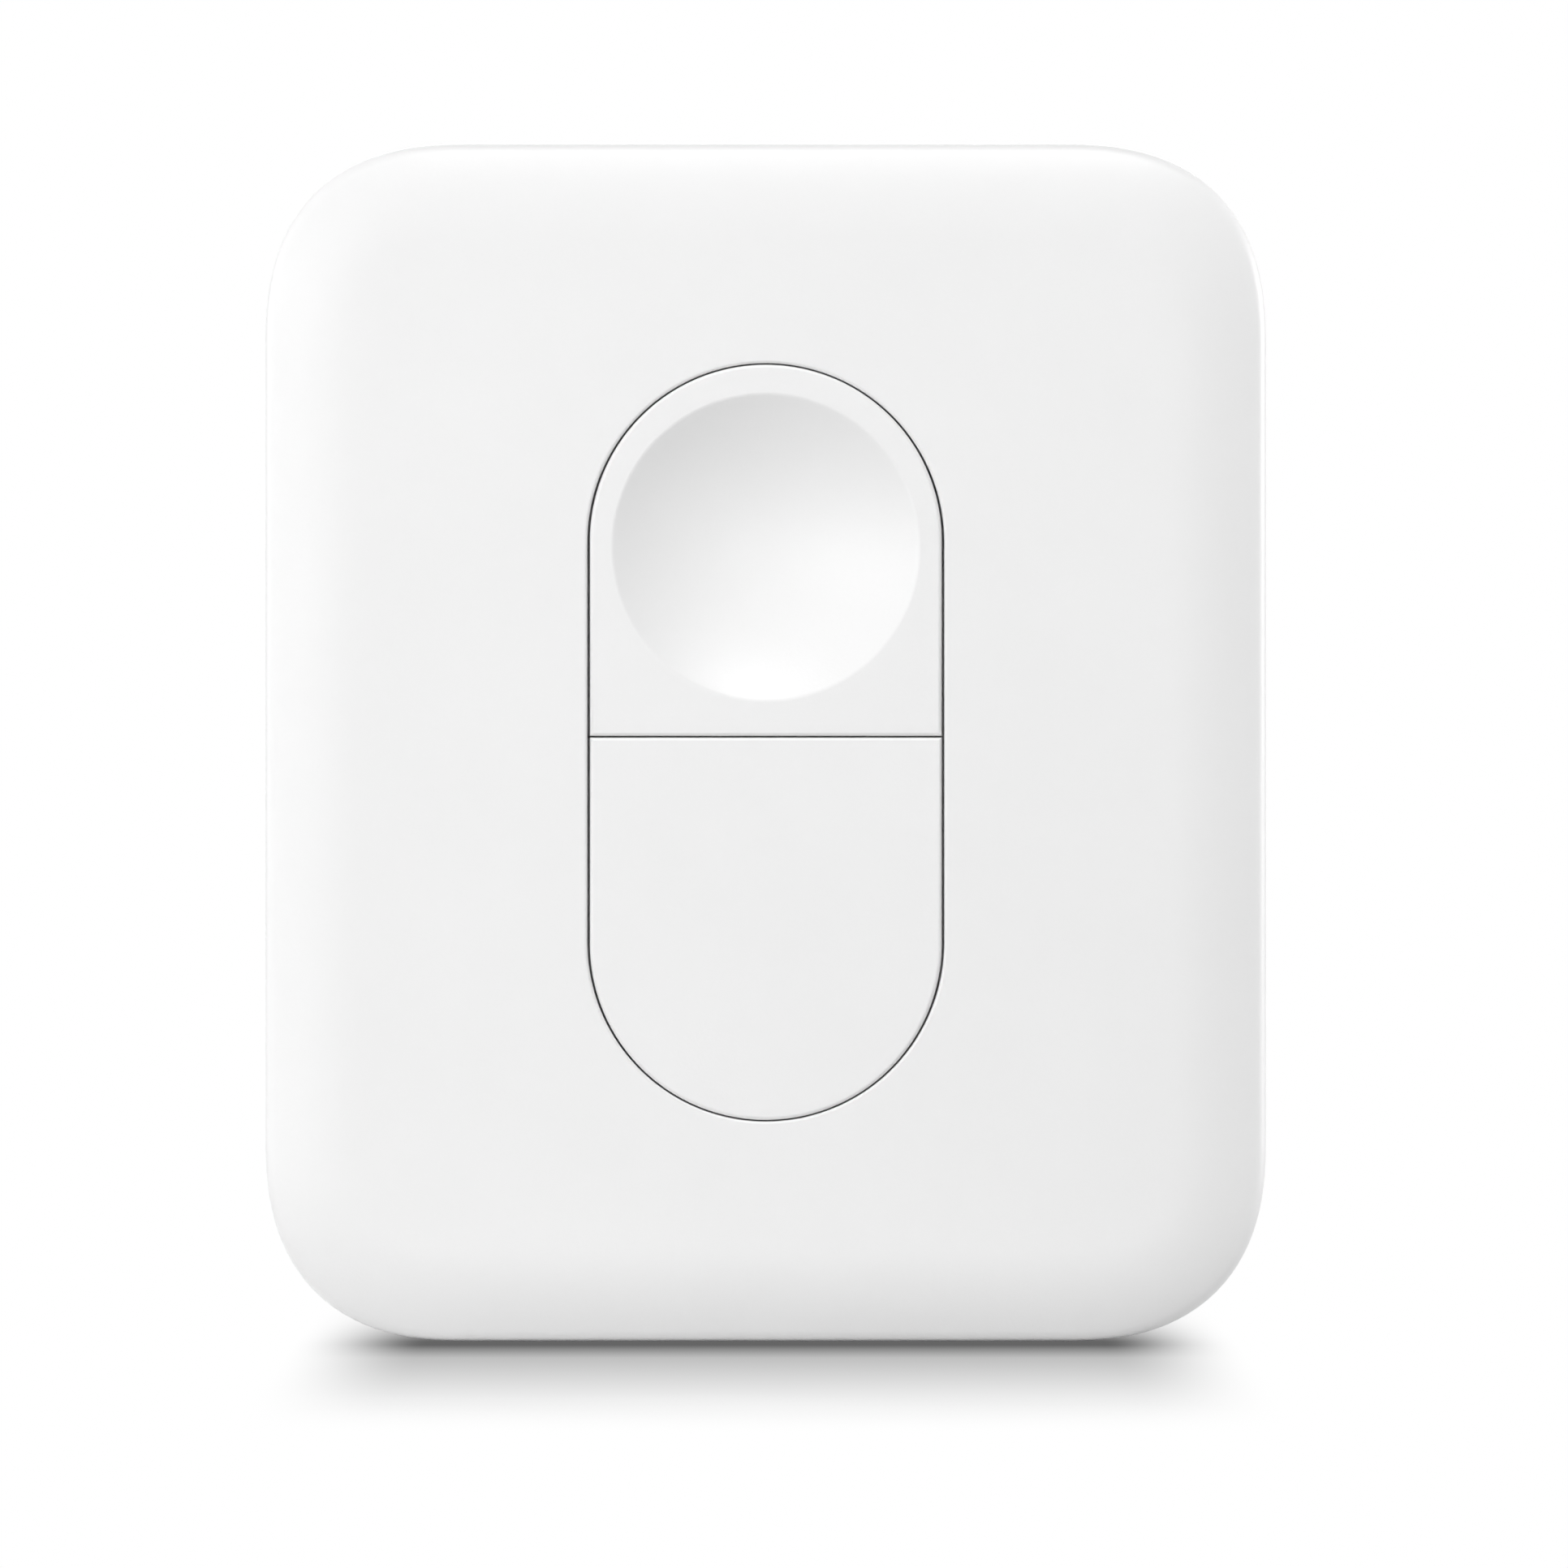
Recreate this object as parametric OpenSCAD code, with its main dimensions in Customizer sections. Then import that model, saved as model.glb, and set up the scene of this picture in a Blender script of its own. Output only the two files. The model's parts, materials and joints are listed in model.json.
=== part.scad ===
// Wireless smart button: a white case of two shells, two keys in one pill-shaped opening, a circuit
// board with two tact switches, a coin cell, and a battery door that a coin turns.
// Each piece is drawn with the case on its back: x to the right, y up the face, z out of the front,
// and z = 0 on the back. The module stand() then sets it on its lower edge, with its front towards -Y.
// The case is as deep as what it holds: the depth is the sum of the stack from the door to the front wall.

/* [Case] */
// Width of the case
body_w = 36; // [34:0.1:42]
// Height of the case, from the edge it stands on to its top
body_h = 43.1; // [40:0.1:52]
// Radius of the outline's corners
corner_r = 6.2; // [5:0.1:8]
// How far the soft shoulder around the front face reaches in from the sides
shoulder_w = 3.3; // [2.5:0.1:4]
// Slope of the shoulder where its edge begins
shoulder_slope = 22; // [18:1:40]
// Radius of the edge between the shoulder and the sides
shoulder_edge_r = 0.65; // [0.3:0.05:0.9]
// Radius of the edge inside the front wall
inner_edge_r = 0.5; // [0.2:0.1:0.9]
// Radius of the edge around the back
back_edge_r = 1.2; // [0.5:0.1:1.8]
// Thickness of the side walls
wall_t = 1.4; // [1:0.1:1.8]
// Thickness of the front wall
front_t = 1.4; // [1:0.1:2]
// Thickness of the back wall
back_t = 1.4; // [1:0.1:1.8]
// Distance from the back to the line where the two shells part
rim_d = 2.4; // [2:0.1:3.2]
// Thickness of the rear cover's lip inside the front cover
lip_t = 0.8; // [0.5:0.1:1.2]
// Height of that lip past the parting line
lip_h = 1; // [0.5:0.1:1.5]
// Clearance between pieces that are fitted together and stay put
fit_gap = 0.1; // [0.04:0.01:0.2]

/* [Keys] */
// Width of the pill-shaped opening
opening_w = 12.8; // [11:0.1:15]
// Height of the pill-shaped opening
opening_h = 27.2; // [24:0.1:31]
// Gap round each key, and between the two
key_gap = 0.1; // [0.08:0.01:0.3]
// Height of the line between the keys above the middle of the face
split_y = 0.2; // [-1:0.1:1]
// How far a key travels when it is pressed
key_travel = 0.3; // [0.2:0.05:0.4]
// How far a key's flange reaches behind the front wall
key_flange_w = 0.7; // [0.4:0.1:1]
// Thickness of a key's flange
key_flange_t = 0.5; // [0.4:0.05:0.8]
// Play between a key's flange and the front wall
key_stop_gap = 0.05; // [0.02:0.01:0.15]
// Diameter of the dish in the upper key
dish_d = 11.1; // [8:0.1:12]
// How far the dish's middle lies above the middle of the upper key
dish_rise = 0.05; // [-0.3:0.05:0.3]
// Depth of the dish
dish_depth = 1.4; // [0.5:0.1:1.6]
// Thickness of the lower key's skin over its hollow
key_skin_t = 1; // [0.7:0.1:1.4]
// Thickness of the lower key's side wall
key_wall_t = 1.2; // [0.8:0.1:1.6]
// Diameter of the pad behind the lower key
key_pad_d = 4.4; // [3:0.1:6]
// Thickness of the wall round the keys' well
well_t = 0.8; // [0.5:0.1:1.2]

/* [Keypad] */
// Thickness of the silicone sheet behind the keys
sheet_t = 0.4; // [0.3:0.05:0.6]
// Diameter of the pips that push the switches
pip_d = 2.2; // [1.4:0.1:3]
// Height of the pips
pip_h = 0.45; // [0.2:0.05:3]

/* [Tact switches] */
// Side of a switch's square base
switch_w = 5.2; // [4.6:0.1:6.2]
// Height of a switch from the board to the top of its plunger
switch_h = 1.5; // [1.3:0.05:2]
// Height of a switch's base
switch_base_h = 0.85; // [0.75:0.05:0.95]
// Thickness of a switch's steel cover
switch_cover_t = 0.12; // [0.08:0.01:0.15]
// Diameter of the plunger
plunger_d = 2.4; // [1.8:0.1:2.8]
// How far the plunger's foot reaches past its sides
plunger_foot_w = 0.4; // [0.2:0.05:0.5]
// Diameter of the round well for the snap dome
dome_well_d = 4; // [3.8:0.1:4.4]
// Thickness of the floor under the snap dome
dome_floor_t = 0.3; // [0.2:0.01:0.35]
// Thickness of the snap dome's sheet
dome_t = 0.06; // [0.04:0.01:0.08]
// Play above and below the plunger's foot
foot_gap = 0.02; // [0.01:0.01:0.04]
// Width of a solder tab
tab_w = 0.7; // [0.4:0.1:1]
// Length of a solder tab
tab_l = 0.9; // [0.6:0.1:1.4]
// Thickness of a solder tab
tab_t = 0.15; // [0.1:0.01:0.2]

/* [Circuit board] */
// Thickness of the board
board_t = 0.8; // [0.6:0.1:1.2]
// Gap between the board and the case
board_gap = 0.4; // [0.2:0.1:0.8]
// Diameter of the posts that the board sits on
post_d = 3; // [2:0.1:3.6]
// Diameter of the pins that locate the board
board_pin_d = 1.2; // [0.8:0.1:1.6]
// Distance from the middle of the face up or down to a post
post_y = 8.4; // [8:0.1:10]
// Gap between the parts on the board
part_gap = 0.9; // [0.5:0.1:1.2]
// Side of the radio chip
radio_w = 4; // [3:0.1:5]
// Height of the radio chip
radio_t = 0.85; // [0.6:0.05:1]
// Width of the crystal
crystal_w = 3.2; // [2:0.1:4]
// Length of the crystal up the board
crystal_l = 2.5; // [1.6:0.1:2.8]
// Height of the crystal
crystal_t = 0.7; // [0.5:0.05:1]
// Width of the inductor
inductor_w = 2; // [1.6:0.1:2.5]
// Length of the inductor up the board
inductor_l = 1.6; // [0.8:0.1:2]
// Height of the inductor
inductor_t = 1; // [0.6:0.05:1.2]
// Width of the antenna
antenna_w = 7; // [3:0.1:9]
// Length of the antenna up the board
antenna_l = 2; // [1.2:0.1:2.4]
// Height of the antenna
antenna_t = 1.2; // [0.6:0.1:1.4]
// Width of the status light
led_w = 1.6; // [1:0.1:2]
// Length of the status light up the board
led_l = 0.8; // [0.5:0.1:1.2]
// Height of the status light
led_t = 0.6; // [0.4:0.05:0.8]
// Width of the capacitors and resistors
passive_w = 1.6; // [1:0.1:2]
// Length of the capacitors and resistors up the board
passive_l = 0.8; // [0.5:0.1:1]
// Height of the capacitors
capacitor_t = 0.8; // [0.5:0.05:1]
// Height of the resistors
resistor_t = 0.45; // [0.3:0.05:0.6]
// Number of capacitors
capacitor_count = 5; // [3:1:5]
// Number of resistors
resistor_count = 3; // [2:1:5]

/* [Coin cell] */
// Diameter of the cell
cell_d = 24.5; // [23:0.1:26]
// Thickness of the cell
cell_t = 5; // [3.2:0.1:6]
// Play round the cell
cell_side_gap = 0.25; // [0.15:0.05:0.4]
// Play between the cell and the door
cell_end_gap = 0.15; // [0.05:0.05:0.3]
// Thickness of the cell's steel can and cap
can_t = 0.25; // [0.2:0.01:0.3]
// Width of the cell's rounded edges
cell_edge = 0.5; // [0.3:0.05:0.6]
// How far the cap stands in from the can's side
cap_inset = 1.4; // [1.2:0.1:2]
// Width of the gasket between the can and the cap
gasket_w = 0.3; // [0.2:0.05:0.4]
// How far the can's rolled edge lies below the cap's face
crimp_drop = 0.25; // [0.15:0.05:0.4]
// How far the can's straight side ends below the cap's face
can_drop = 0.8; // [0.7:0.05:1]

/* [Cell holder and contacts] */
// Space between the cell and the board for the contact spring
contact_h = 0.55; // [0.45:0.05:0.8]
// Thickness of the contact springs
contact_t = 0.15; // [0.1:0.01:0.2]
// Play where a spring touches the cell
touch_gap = 0.02; // [0.01:0.01:0.04]
// Length of the negative contact's base
base_l = 3.5; // [2.5:0.1:5]
// Width of a finger of the negative contact
finger_w = 2.4; // [1.5:0.1:3]
// Gap between the two fingers
finger_gap = 1; // [0.5:0.1:2]
// Length of a finger from its bend to where it touches the cell
finger_l = 4.1; // [3:0.1:5]
// Length of a finger's turned-up tip
tip_l = 1; // [0.5:0.1:1.5]
// How far the tip turns up
tip_rise = 0.15; // [0.05:0.01:0.2]
// Width of the positive contact's blade
blade_w = 4; // [3:0.1:5]
// How far the blade bows towards the cell
blade_bow = 0.5; // [0.3:0.05:0.6]
// Length of the blade's foot on the board
blade_foot_l = 1.6; // [1:0.1:1.8]
// Distance from the holder's lower edge to the blade's lower end
blade_end_gap = 0.3; // [0.1:0.1:0.8]
// Play on each side of the blade in the holder's window
window_gap = 1; // [0.4:0.1:1.5]
// Wall of the ring that holds the cell
holder_t = 1; // [0.7:0.1:1.3]
// Angle that each of the holder's feet spans
foot_angle = 12; // [8:1:18]

/* [Battery door] */
// Thickness of the door
door_t = 1.2; // [1:0.05:1.5]
// Running clearance round the door
door_gap = 0.15; // [0.08:0.01:0.25]
// Wall of the door's spigot
spigot_t = 0.85; // [0.6:0.05:1]
// How far the door's lugs reach past the spigot
lug_w = 0.8; // [0.5:0.1:1]
// Thickness of the lugs
lug_t = 0.8; // [0.5:0.1:1]
// Play between the lugs and the lip that they hook behind
lug_gap = 0.05; // [0.02:0.01:0.1]
// Angle that each lug spans
lug_angle = 24; // [18:1:28]
// Angle that the door turns from shut to open
door_turn = 35; // [32:1:42]
// Angle between a notch's sides and the lug that leaves through it
notch_gap_angle = 1; // [0.5:0.1:1.4]
// Angle between a lug and the rib that stops it
stop_gap_angle = 1.5; // [1.5:0.1:2.5]
// Angle that each stop rib spans
stop_angle = 4; // [3:0.5:6]
// How far the door's edge covers the notches for its lugs
door_cover_w = 0.45; // [0.3:0.05:0.7]
// Thickness of the lip that the lugs hook behind
hatch_lip_t = 0.8; // [0.6:0.05:1]
// Wall round the door's seat
hatch_ring_t = 1; // [0.7:0.1:1.3]
// Length of the coin slot
slot_l = 14; // [10:0.5:20]
// Width of the coin slot
slot_w = 1.8; // [1.4:0.1:2.6]
// Depth of the coin slot
slot_d = 0.7; // [0.4:0.05:0.9]

/* [Screws] */
// Diameter of the case screws
screw_d = 1.6; // [1.2:0.1:2]
// Length of a screw under its head
screw_l = 5; // [3.5:0.5:7]
// Diameter of a screw's head
head_d = 3; // [2.4:0.1:3.4]
// Height of a screw's head
head_h = 0.9; // [0.7:0.1:1.1]
// How far the heads sit below the back
head_sink = 0.2; // [0.05:0.05:0.4]
// Length of each slot of the cross in a head
cross_l = 1.8; // [1.2:0.1:2]
// Width of each slot of the cross
cross_w = 0.5; // [0.3:0.05:0.7]
// Depth of the cross
cross_d = 0.55; // [0.3:0.05:0.6]
// Distance from the case's sides to the screws
screw_inset = 4.5; // [4:0.1:5]
// Wall of a screw boss
boss_t = 1.05; // [0.8:0.05:1.3]
// Wall round a screw's head
pillar_t = 0.6; // [0.4:0.1:0.9]

/* [Adhesive strips] */
// Gap between a strip's long sides and what is next to them
strip_side_gap = 0.8; // [0.4:0.1:1.2]
// Gap between a strip's ends and the screw heads
strip_end_gap = 1.9; // [1:0.1:4]
// Thickness of a strip
strip_t = 0.8; // [0.6:0.1:1.2]
// Depth of the recess that a strip sits in
strip_recess = 0.4; // [0.2:0.05:0.5]

/* [Hidden] */
$fn = 72;

// A little more than flush, for cuts that go right through
over = 1;

// Levels above the back, from the door to the front face
hatch_lip_top = door_t + hatch_lip_t;
lug_z = hatch_lip_top + lug_gap;
lug_top = lug_z + lug_t;
cell_z = door_t + cell_end_gap;
cell_top = cell_z + cell_t;
board_z = cell_top + contact_h;
board_top = board_z + board_t;
plunger_top = board_top + switch_h;
sheet_z = plunger_top + pip_h;
key_back_z = sheet_z + sheet_t;
key_stop_z = key_back_z + key_flange_t;
front_in = key_stop_z + key_stop_gap;
body_d = front_in + front_t;

// Inside of the case
inner_w = body_w - 2 * wall_t;
inner_h = body_h - 2 * wall_t;
inner_r = corner_r - wall_t;
// The shoulder is a flat arc that ends in a tight edge
shoulder_r = (shoulder_w - shoulder_edge_r * (1 - sin(shoulder_slope))) / sin(shoulder_slope);
shoulder_drop = shoulder_r * (1 - cos(shoulder_slope)) + shoulder_edge_r * cos(shoulder_slope);
lip_inset = fit_gap + lip_t;
// Bosses, posts and the well are rooted halfway into the front wall
root_z = front_in + front_t / 2;

// Keys, their well and the keypad
key_w = opening_w - 2 * key_gap;
key_h = opening_h - 2 * key_gap;
flange_w = opening_w + 2 * key_flange_w;
flange_h = opening_h + 2 * key_flange_w;
keypad_w = flange_w + 2 * (fit_gap + well_t);
keypad_h = flange_h + 2 * (fit_gap + well_t);
upper_y = (split_y + opening_h / 2) / 2;
lower_y = (split_y - opening_h / 2) / 2;
dish_ball_r = (pow(dish_d / 2, 2) + pow(dish_depth, 2)) / (2 * dish_depth);

// Switch, whose dome is as high as the travel and carries the plunger's foot
dome_h = key_travel + foot_gap;
foot_z = dome_floor_t + dome_h + foot_gap;
foot_top = switch_base_h - foot_gap;
foot_d = plunger_d + 2 * plunger_foot_w;

// Board, with a free bay to the left and the right of the keypad
board_w = inner_w - 2 * board_gap;
board_h = inner_h - 2 * board_gap;
board_r = inner_r - board_gap;
bay_x = (keypad_w + board_w) / 4;
passive_pitch = passive_l + part_gap;
passive_x = (passive_w + part_gap) / 2;

// Cell, holder and door
cell_r = cell_d / 2;
cap_r = cell_r - cap_inset;
crimp_r = cap_r + gasket_w;
crimp_z = cell_t - crimp_drop;
can_z = cell_t - can_drop;
spigot_in_r = cell_r + cell_side_gap;
spigot_r = spigot_in_r + spigot_t;
hatch_r = spigot_r + door_gap;
lug_r = spigot_r + lug_w;
notch_r = lug_r + door_gap;
door_r = lug_r + door_cover_w;
seat_r = door_r + door_gap;
hatch_ring_r = seat_r + hatch_ring_t;
holder_r = spigot_in_r + holder_t;
holder_z = lug_top + door_gap;
lug_middles = [90, 210, 330];
notch_half = lug_angle / 2 + notch_gap_angle;
stop_in_r = hatch_r + fit_gap;
stop_r = notch_r + fit_gap;
stop_z = door_t + hatch_lip_t / 2;

// Screws and bosses
screw_x = body_w / 2 - screw_inset;
screw_y = body_h / 2 - screw_inset;
pilot_r = screw_d / 2 + fit_gap / 2;
boss_r = pilot_r + boss_t;
head_hole_r = head_d / 2 + fit_gap;
pillar_r = head_hole_r + pillar_t;
head_top = head_sink + head_h;

// Adhesive strips, between the door's seat and the rounded edge, and between the screws
strip_low = seat_r + strip_side_gap;
strip_high = body_h / 2 - back_edge_r - strip_side_gap;
strip_y = (strip_low + strip_high) / 2;
strip_w = strip_high - strip_low;
strip_l = 2 * (screw_x - head_hole_r - strip_end_gap);
strip_proud = strip_t - strip_recess;

shell_white = [0.95, 0.95, 0.95];
steel = [0.72, 0.73, 0.75];

// Sets the finished piece upright on its lower edge, centred on the origin
module stand() {
    translate([0, (body_d - strip_proud) / 2, body_h / 2]) rotate([90, 0, 0]) children();
}

// A quarter of a disc, in the first quadrant
module quarter_disc(r) {
    intersection() {
        circle(r);
        square(2 * r);
    }
}

// A rectangle from z0 to z1 and u wide, with its outer corners rounded
module edge_section(u, z0, z1, top_r, bottom_r) {
    translate([0, z0 + bottom_r]) square([u, z1 - z0 - top_r - bottom_r]);
    if (top_r > 0) {
        translate([0, z1 - top_r]) square([u - top_r, top_r]);
        translate([u - top_r, z1 - top_r]) quarter_disc(top_r);
    }
    if (bottom_r > 0) {
        translate([0, z0]) square([u - bottom_r, bottom_r]);
        translate([u - bottom_r, z0 + bottom_r]) rotate(-90) quarter_disc(bottom_r);
    }
}

// A rectangle from z0 to z1 and u wide, with the front cover's shoulder at its outer top corner
module shoulder_section(u, z0, z1) {
    start = u - shoulder_w;
    join = u - shoulder_edge_r * (1 - sin(shoulder_slope));
    low = z1 - shoulder_drop;
    translate([0, z0]) square([u, low - z0]);
    translate([0, low]) square([start, shoulder_drop]);
    intersection() {
        translate([start, z1 - shoulder_r]) circle(shoulder_r);
        translate([start, low]) square([join - start, shoulder_drop]);
    }
    intersection() {
        translate([u - shoulder_edge_r, low]) circle(shoulder_edge_r);
        translate([join, low]) square([u - join, shoulder_drop]);
    }
}

// A block with round corners in plan, whose sides have the section that is given as the child
module swept_block(w, h, r, z0, z1) {
    side_x = w / 2 - r;
    side_y = h / 2 - r;
    translate([-side_x, -side_y, z0]) cube([2 * side_x, 2 * side_y, z1 - z0]);
    for (turn = [0 : 90 : 270]) {
        out = turn % 180 == 0 ? side_x : side_y;
        along = turn % 180 == 0 ? side_y : side_x;
        rotate(turn) translate([out, along, 0]) {
            rotate_extrude(angle = 90) children();
            rotate([90, 0, 0]) linear_extrude(2 * along) children();
        }
    }
}

// A block with round corners in plan, and round edges at its top and bottom
module round_block(w, h, r, z0, z1, top_r = 0, bottom_r = 0) {
    swept_block(w, h, r, z0, z1) edge_section(r, z0, z1, top_r, bottom_r);
}

// A flat pill, w wide and h high
module pill(w, h) {
    square([w, h - w], center = true);
    for (end = [1, -1])
        translate([0, end * (h - w) / 2]) intersection() {
            circle(d = w);
            translate([-w, end > 0 ? 0 : -w]) square([2 * w, w]);
        }
}

// A pill of that size between two levels
module pill_block(w, h, z0, z1) {
    translate([0, 0, z0]) linear_extrude(z1 - z0) pill(w, h);
}

// A pill-shaped wall of that outer size and thickness
module pill_wall(w, h, t, z0, z1) {
    difference() {
        pill_block(w, h, z0, z1);
        pill_block(w - 2 * t, h - 2 * t, z0 - over, z1 + over);
    }
}

// The half of a pill above the split line, or below it
module half_pill_block(w, h, z0, z1, side) {
    intersection() {
        pill_block(w, h, z0, z1);
        translate([-w, side > 0 ? split_y + key_gap / 2 : split_y - key_gap / 2 - h, z0 - over])
            cube([2 * w, h, z1 - z0 + 2 * over]);
    }
}

// Part of a ring between two radii, two levels and two angles
module ring_sector(r0, r1, z0, z1, from, to) {
    rotate(from) rotate_extrude(angle = to - from) translate([r0, z0]) square([r1 - r0, z1 - z0]);
}

module ring(r0, r1, z0, z1) {
    translate([0, 0, z0]) difference() {
        cylinder(r = r1, h = z1 - z0);
        translate([0, 0, -over]) cylinder(r = r0, h = z1 - z0 + 2 * over);
    }
}

module rod(r, z0, z1) {
    translate([0, 0, z0]) cylinder(r = r, h = z1 - z0);
}

module slab(x, y, w, h, z0, z1) {
    translate([x - w / 2, y - h / 2, z0]) cube([w, h, z1 - z0]);
}

module at_screws() {
    for (x = [-1, 1], y = [-1, 1]) translate([x * screw_x, y * screw_y, 0]) children();
}

module at_posts() {
    for (x = [-1, 1], y = [-1, 1]) translate([x * bay_x, y * post_y, 0]) children();
}

// Front shell: soft shoulder, pill opening, key well, screw bosses and the posts for the board
module front_cover() {
    color(shell_white) difference() {
        union() {
            difference() {
                swept_block(body_w, body_h, corner_r, rim_d, body_d) shoulder_section(corner_r, rim_d, body_d);
                round_block(inner_w, inner_h, inner_r, rim_d - over, front_in, top_r = inner_edge_r);
            }
            pill_wall(keypad_w, keypad_h, well_t, key_back_z, root_z);
            at_screws() rod(boss_r, rim_d, root_z);
            at_posts() {
                rod(post_d / 2, board_top, root_z);
                rod(board_pin_d / 2, board_z, front_in);
            }
        }
        pill_block(opening_w, opening_h, front_in - over / 2, body_d + over);
        at_screws() rod(pilot_r, rim_d - over, head_top + screw_l + fit_gap);
    }
}

// Rear shell: a tray with a lip, the door's seat and hooks, screw pillars and recesses for the strips
module rear_cover() {
    color(shell_white) difference() {
        union() {
            difference() {
                rear_tray();
                round_block(inner_w - 2 * lip_inset, inner_h - 2 * lip_inset, inner_r - lip_inset,
                    back_t, rim_d + lip_h + over);
                at_screws() rod(boss_r + fit_gap, rim_d, rim_d + lip_h + over);
            }
            rod(hatch_ring_r, 0, hatch_lip_top);
            at_screws() rod(pillar_r, 0, rim_d);
            for (middle = lug_middles) lug_stops(middle);
        }
        rod(seat_r, -over, door_t);
        rod(hatch_r, -over, hatch_lip_top + over);
        for (middle = lug_middles)
            ring_sector(hatch_r - over, notch_r, door_t - over / 2, hatch_lip_top + over,
                middle - door_turn - notch_half, middle - door_turn + notch_half);
        at_screws() {
            rod(screw_d / 2 + fit_gap, -over, rim_d + over);
            rod(head_hole_r, -over, head_top);
        }
        for (side = [1, -1])
            slab(0, side * strip_y, strip_l + 2 * fit_gap, strip_w + 2 * fit_gap, -over, strip_recess);
    }
}

module rear_tray() {
    round_block(body_w, body_h, corner_r, 0, rim_d, bottom_r = back_edge_r);
    round_block(inner_w - 2 * fit_gap, inner_h - 2 * fit_gap, inner_r - fit_gap, back_t, rim_d + lip_h);
}

// The two ribs that stop a lug, where the door is shut and where it is open
module lug_stops(middle) {
    shut = middle + lug_angle / 2 + stop_gap_angle;
    open = middle - door_turn - lug_angle / 2 - stop_gap_angle;
    ring_sector(stop_in_r, stop_r, stop_z, lug_top, shut, shut + stop_angle);
    ring_sector(stop_in_r, stop_r, stop_z, lug_top, open - stop_angle, open);
}

// Cross-recessed screws that hold the shells together
module case_screws() {
    color(steel) at_screws() difference() {
        union() {
            rod(head_d / 2, head_sink, head_top);
            rod(screw_d / 2, head_top, head_top + screw_l);
        }
        for (turn = [0, 90]) rotate(turn) slab(0, 0, cross_l, cross_w, head_sink - over, head_sink + cross_d);
    }
}

// A foam strip that sticks the button to a wall
module adhesive_strip(side) {
    color("gainsboro") slab(0, side * strip_y, strip_l, strip_w, -strip_proud, strip_recess);
}

module key_blank(side) {
    half_pill_block(key_w, key_h, key_back_z, body_d, side);
    half_pill_block(flange_w, flange_h, key_back_z, key_stop_z, side);
}

// Upper key, with a round dish for the finger
module upper_key() {
    color(shell_white) difference() {
        key_blank(1);
        translate([0, upper_y + dish_rise, body_d - dish_depth + dish_ball_r]) sphere(dish_ball_r);
    }
}

// Lower key, plain in front and cored behind, with a pad over its switch
module lower_key() {
    color(shell_white) difference() {
        key_blank(-1);
        difference() {
            translate([0, -key_wall_t, 0]) half_pill_block(key_w - 2 * key_wall_t, key_h - 4 * key_wall_t,
                key_back_z - over, body_d - key_skin_t, -1);
            translate([0, lower_y, 0]) rod(key_pad_d / 2, key_back_z - 2 * over, body_d);
        }
    }
}

// Silicone keypad: a sheet that returns the keys, pips for the switches and a skirt on the board
module keypad() {
    color("whitesmoke") {
        pill_block(keypad_w, keypad_h, sheet_z, key_back_z);
        pill_wall(keypad_w, keypad_h, well_t, board_top, sheet_z);
        for (y = [upper_y, lower_y]) translate([0, y, 0]) rod(pip_d / 2, plunger_top, sheet_z);
    }
}

module switch_base(y) {
    color("dimgray") translate([0, y, board_top]) difference() {
        slab(0, 0, switch_w, switch_w, 0, switch_base_h);
        rod(dome_well_d / 2, dome_floor_t, switch_base_h + over);
    }
}

// Snap dome: a thin cap of a sphere that clicks and returns the plunger
module switch_dome(y) {
    rim_r = dome_well_d / 2 - fit_gap;
    ball_r = (pow(rim_r, 2) + pow(dome_h, 2)) / (2 * dome_h);
    color(steel) translate([0, y, board_top + dome_floor_t]) intersection() {
        translate([0, 0, dome_h - ball_r]) difference() {
            sphere(ball_r);
            sphere(ball_r - dome_t);
        }
        rod(dome_well_d, 0, dome_h + over);
    }
}

module switch_plunger(y) {
    color("black") translate([0, y, board_top]) {
        rod(foot_d / 2, foot_z, foot_top);
        rod(plunger_d / 2, foot_top, switch_h);
    }
}

module switch_cover(y) {
    color(steel) translate([0, y, board_top]) difference() {
        slab(0, 0, switch_w, switch_w, switch_base_h, switch_base_h + switch_cover_t);
        rod(plunger_d / 2 + fit_gap, 0, switch_h);
    }
}

// Solder tabs, two on each side of each switch
module switch_terminals() {
    tab_x = (switch_w + tab_l) / 2;
    tab_y = switch_w / 2 - tab_w;
    color(steel) for (y = [upper_y, lower_y], side = [1, -1], end = [1, -1])
        slab(side * tab_x, y + end * tab_y, tab_l, tab_w, board_top, board_top + tab_t);
}

module circuit_board() {
    color("seagreen") difference() {
        round_block(board_w, board_h, board_r, board_z, board_top);
        at_screws() rod(boss_r + board_gap, board_z - over, board_top + over);
        at_posts() rod(board_pin_d / 2 + fit_gap, board_z - over, board_top + over);
    }
}

// A part soldered on the front of the board
module on_board(x, y, w, l, t) {
    slab(x, y, w, l, board_top, board_top + t);
}

module radio_chip() {
    color("black") on_board(-bay_x, 0, radio_w, radio_w, radio_t);
}

module crystal() {
    color(steel) on_board(-bay_x, (radio_w + crystal_l) / 2 + part_gap, crystal_w, crystal_l, crystal_t);
}

module inductor() {
    color("slategray") on_board(-bay_x, -(radio_w + inductor_l) / 2 - part_gap, inductor_w, inductor_l, inductor_t);
}

module chip_antenna() {
    color("ivory") on_board(0, (keypad_h + board_h) / 4, antenna_w, antenna_l, antenna_t);
}

module status_led() {
    color("lightyellow") on_board(0, split_y, led_w, led_l, led_t);
}

// A row of capacitors or resistors up the right bay
module passives(x, count, t) {
    for (row = [0 : count - 1]) on_board(x, (row - (count - 1) / 2) * passive_pitch, passive_w, passive_l, t);
}

module capacitors() {
    color("tan") passives(bay_x - passive_x, capacitor_count, capacitor_t);
}

module resistors() {
    color("black") passives(bay_x + passive_x, resistor_count, resistor_t);
}

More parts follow.
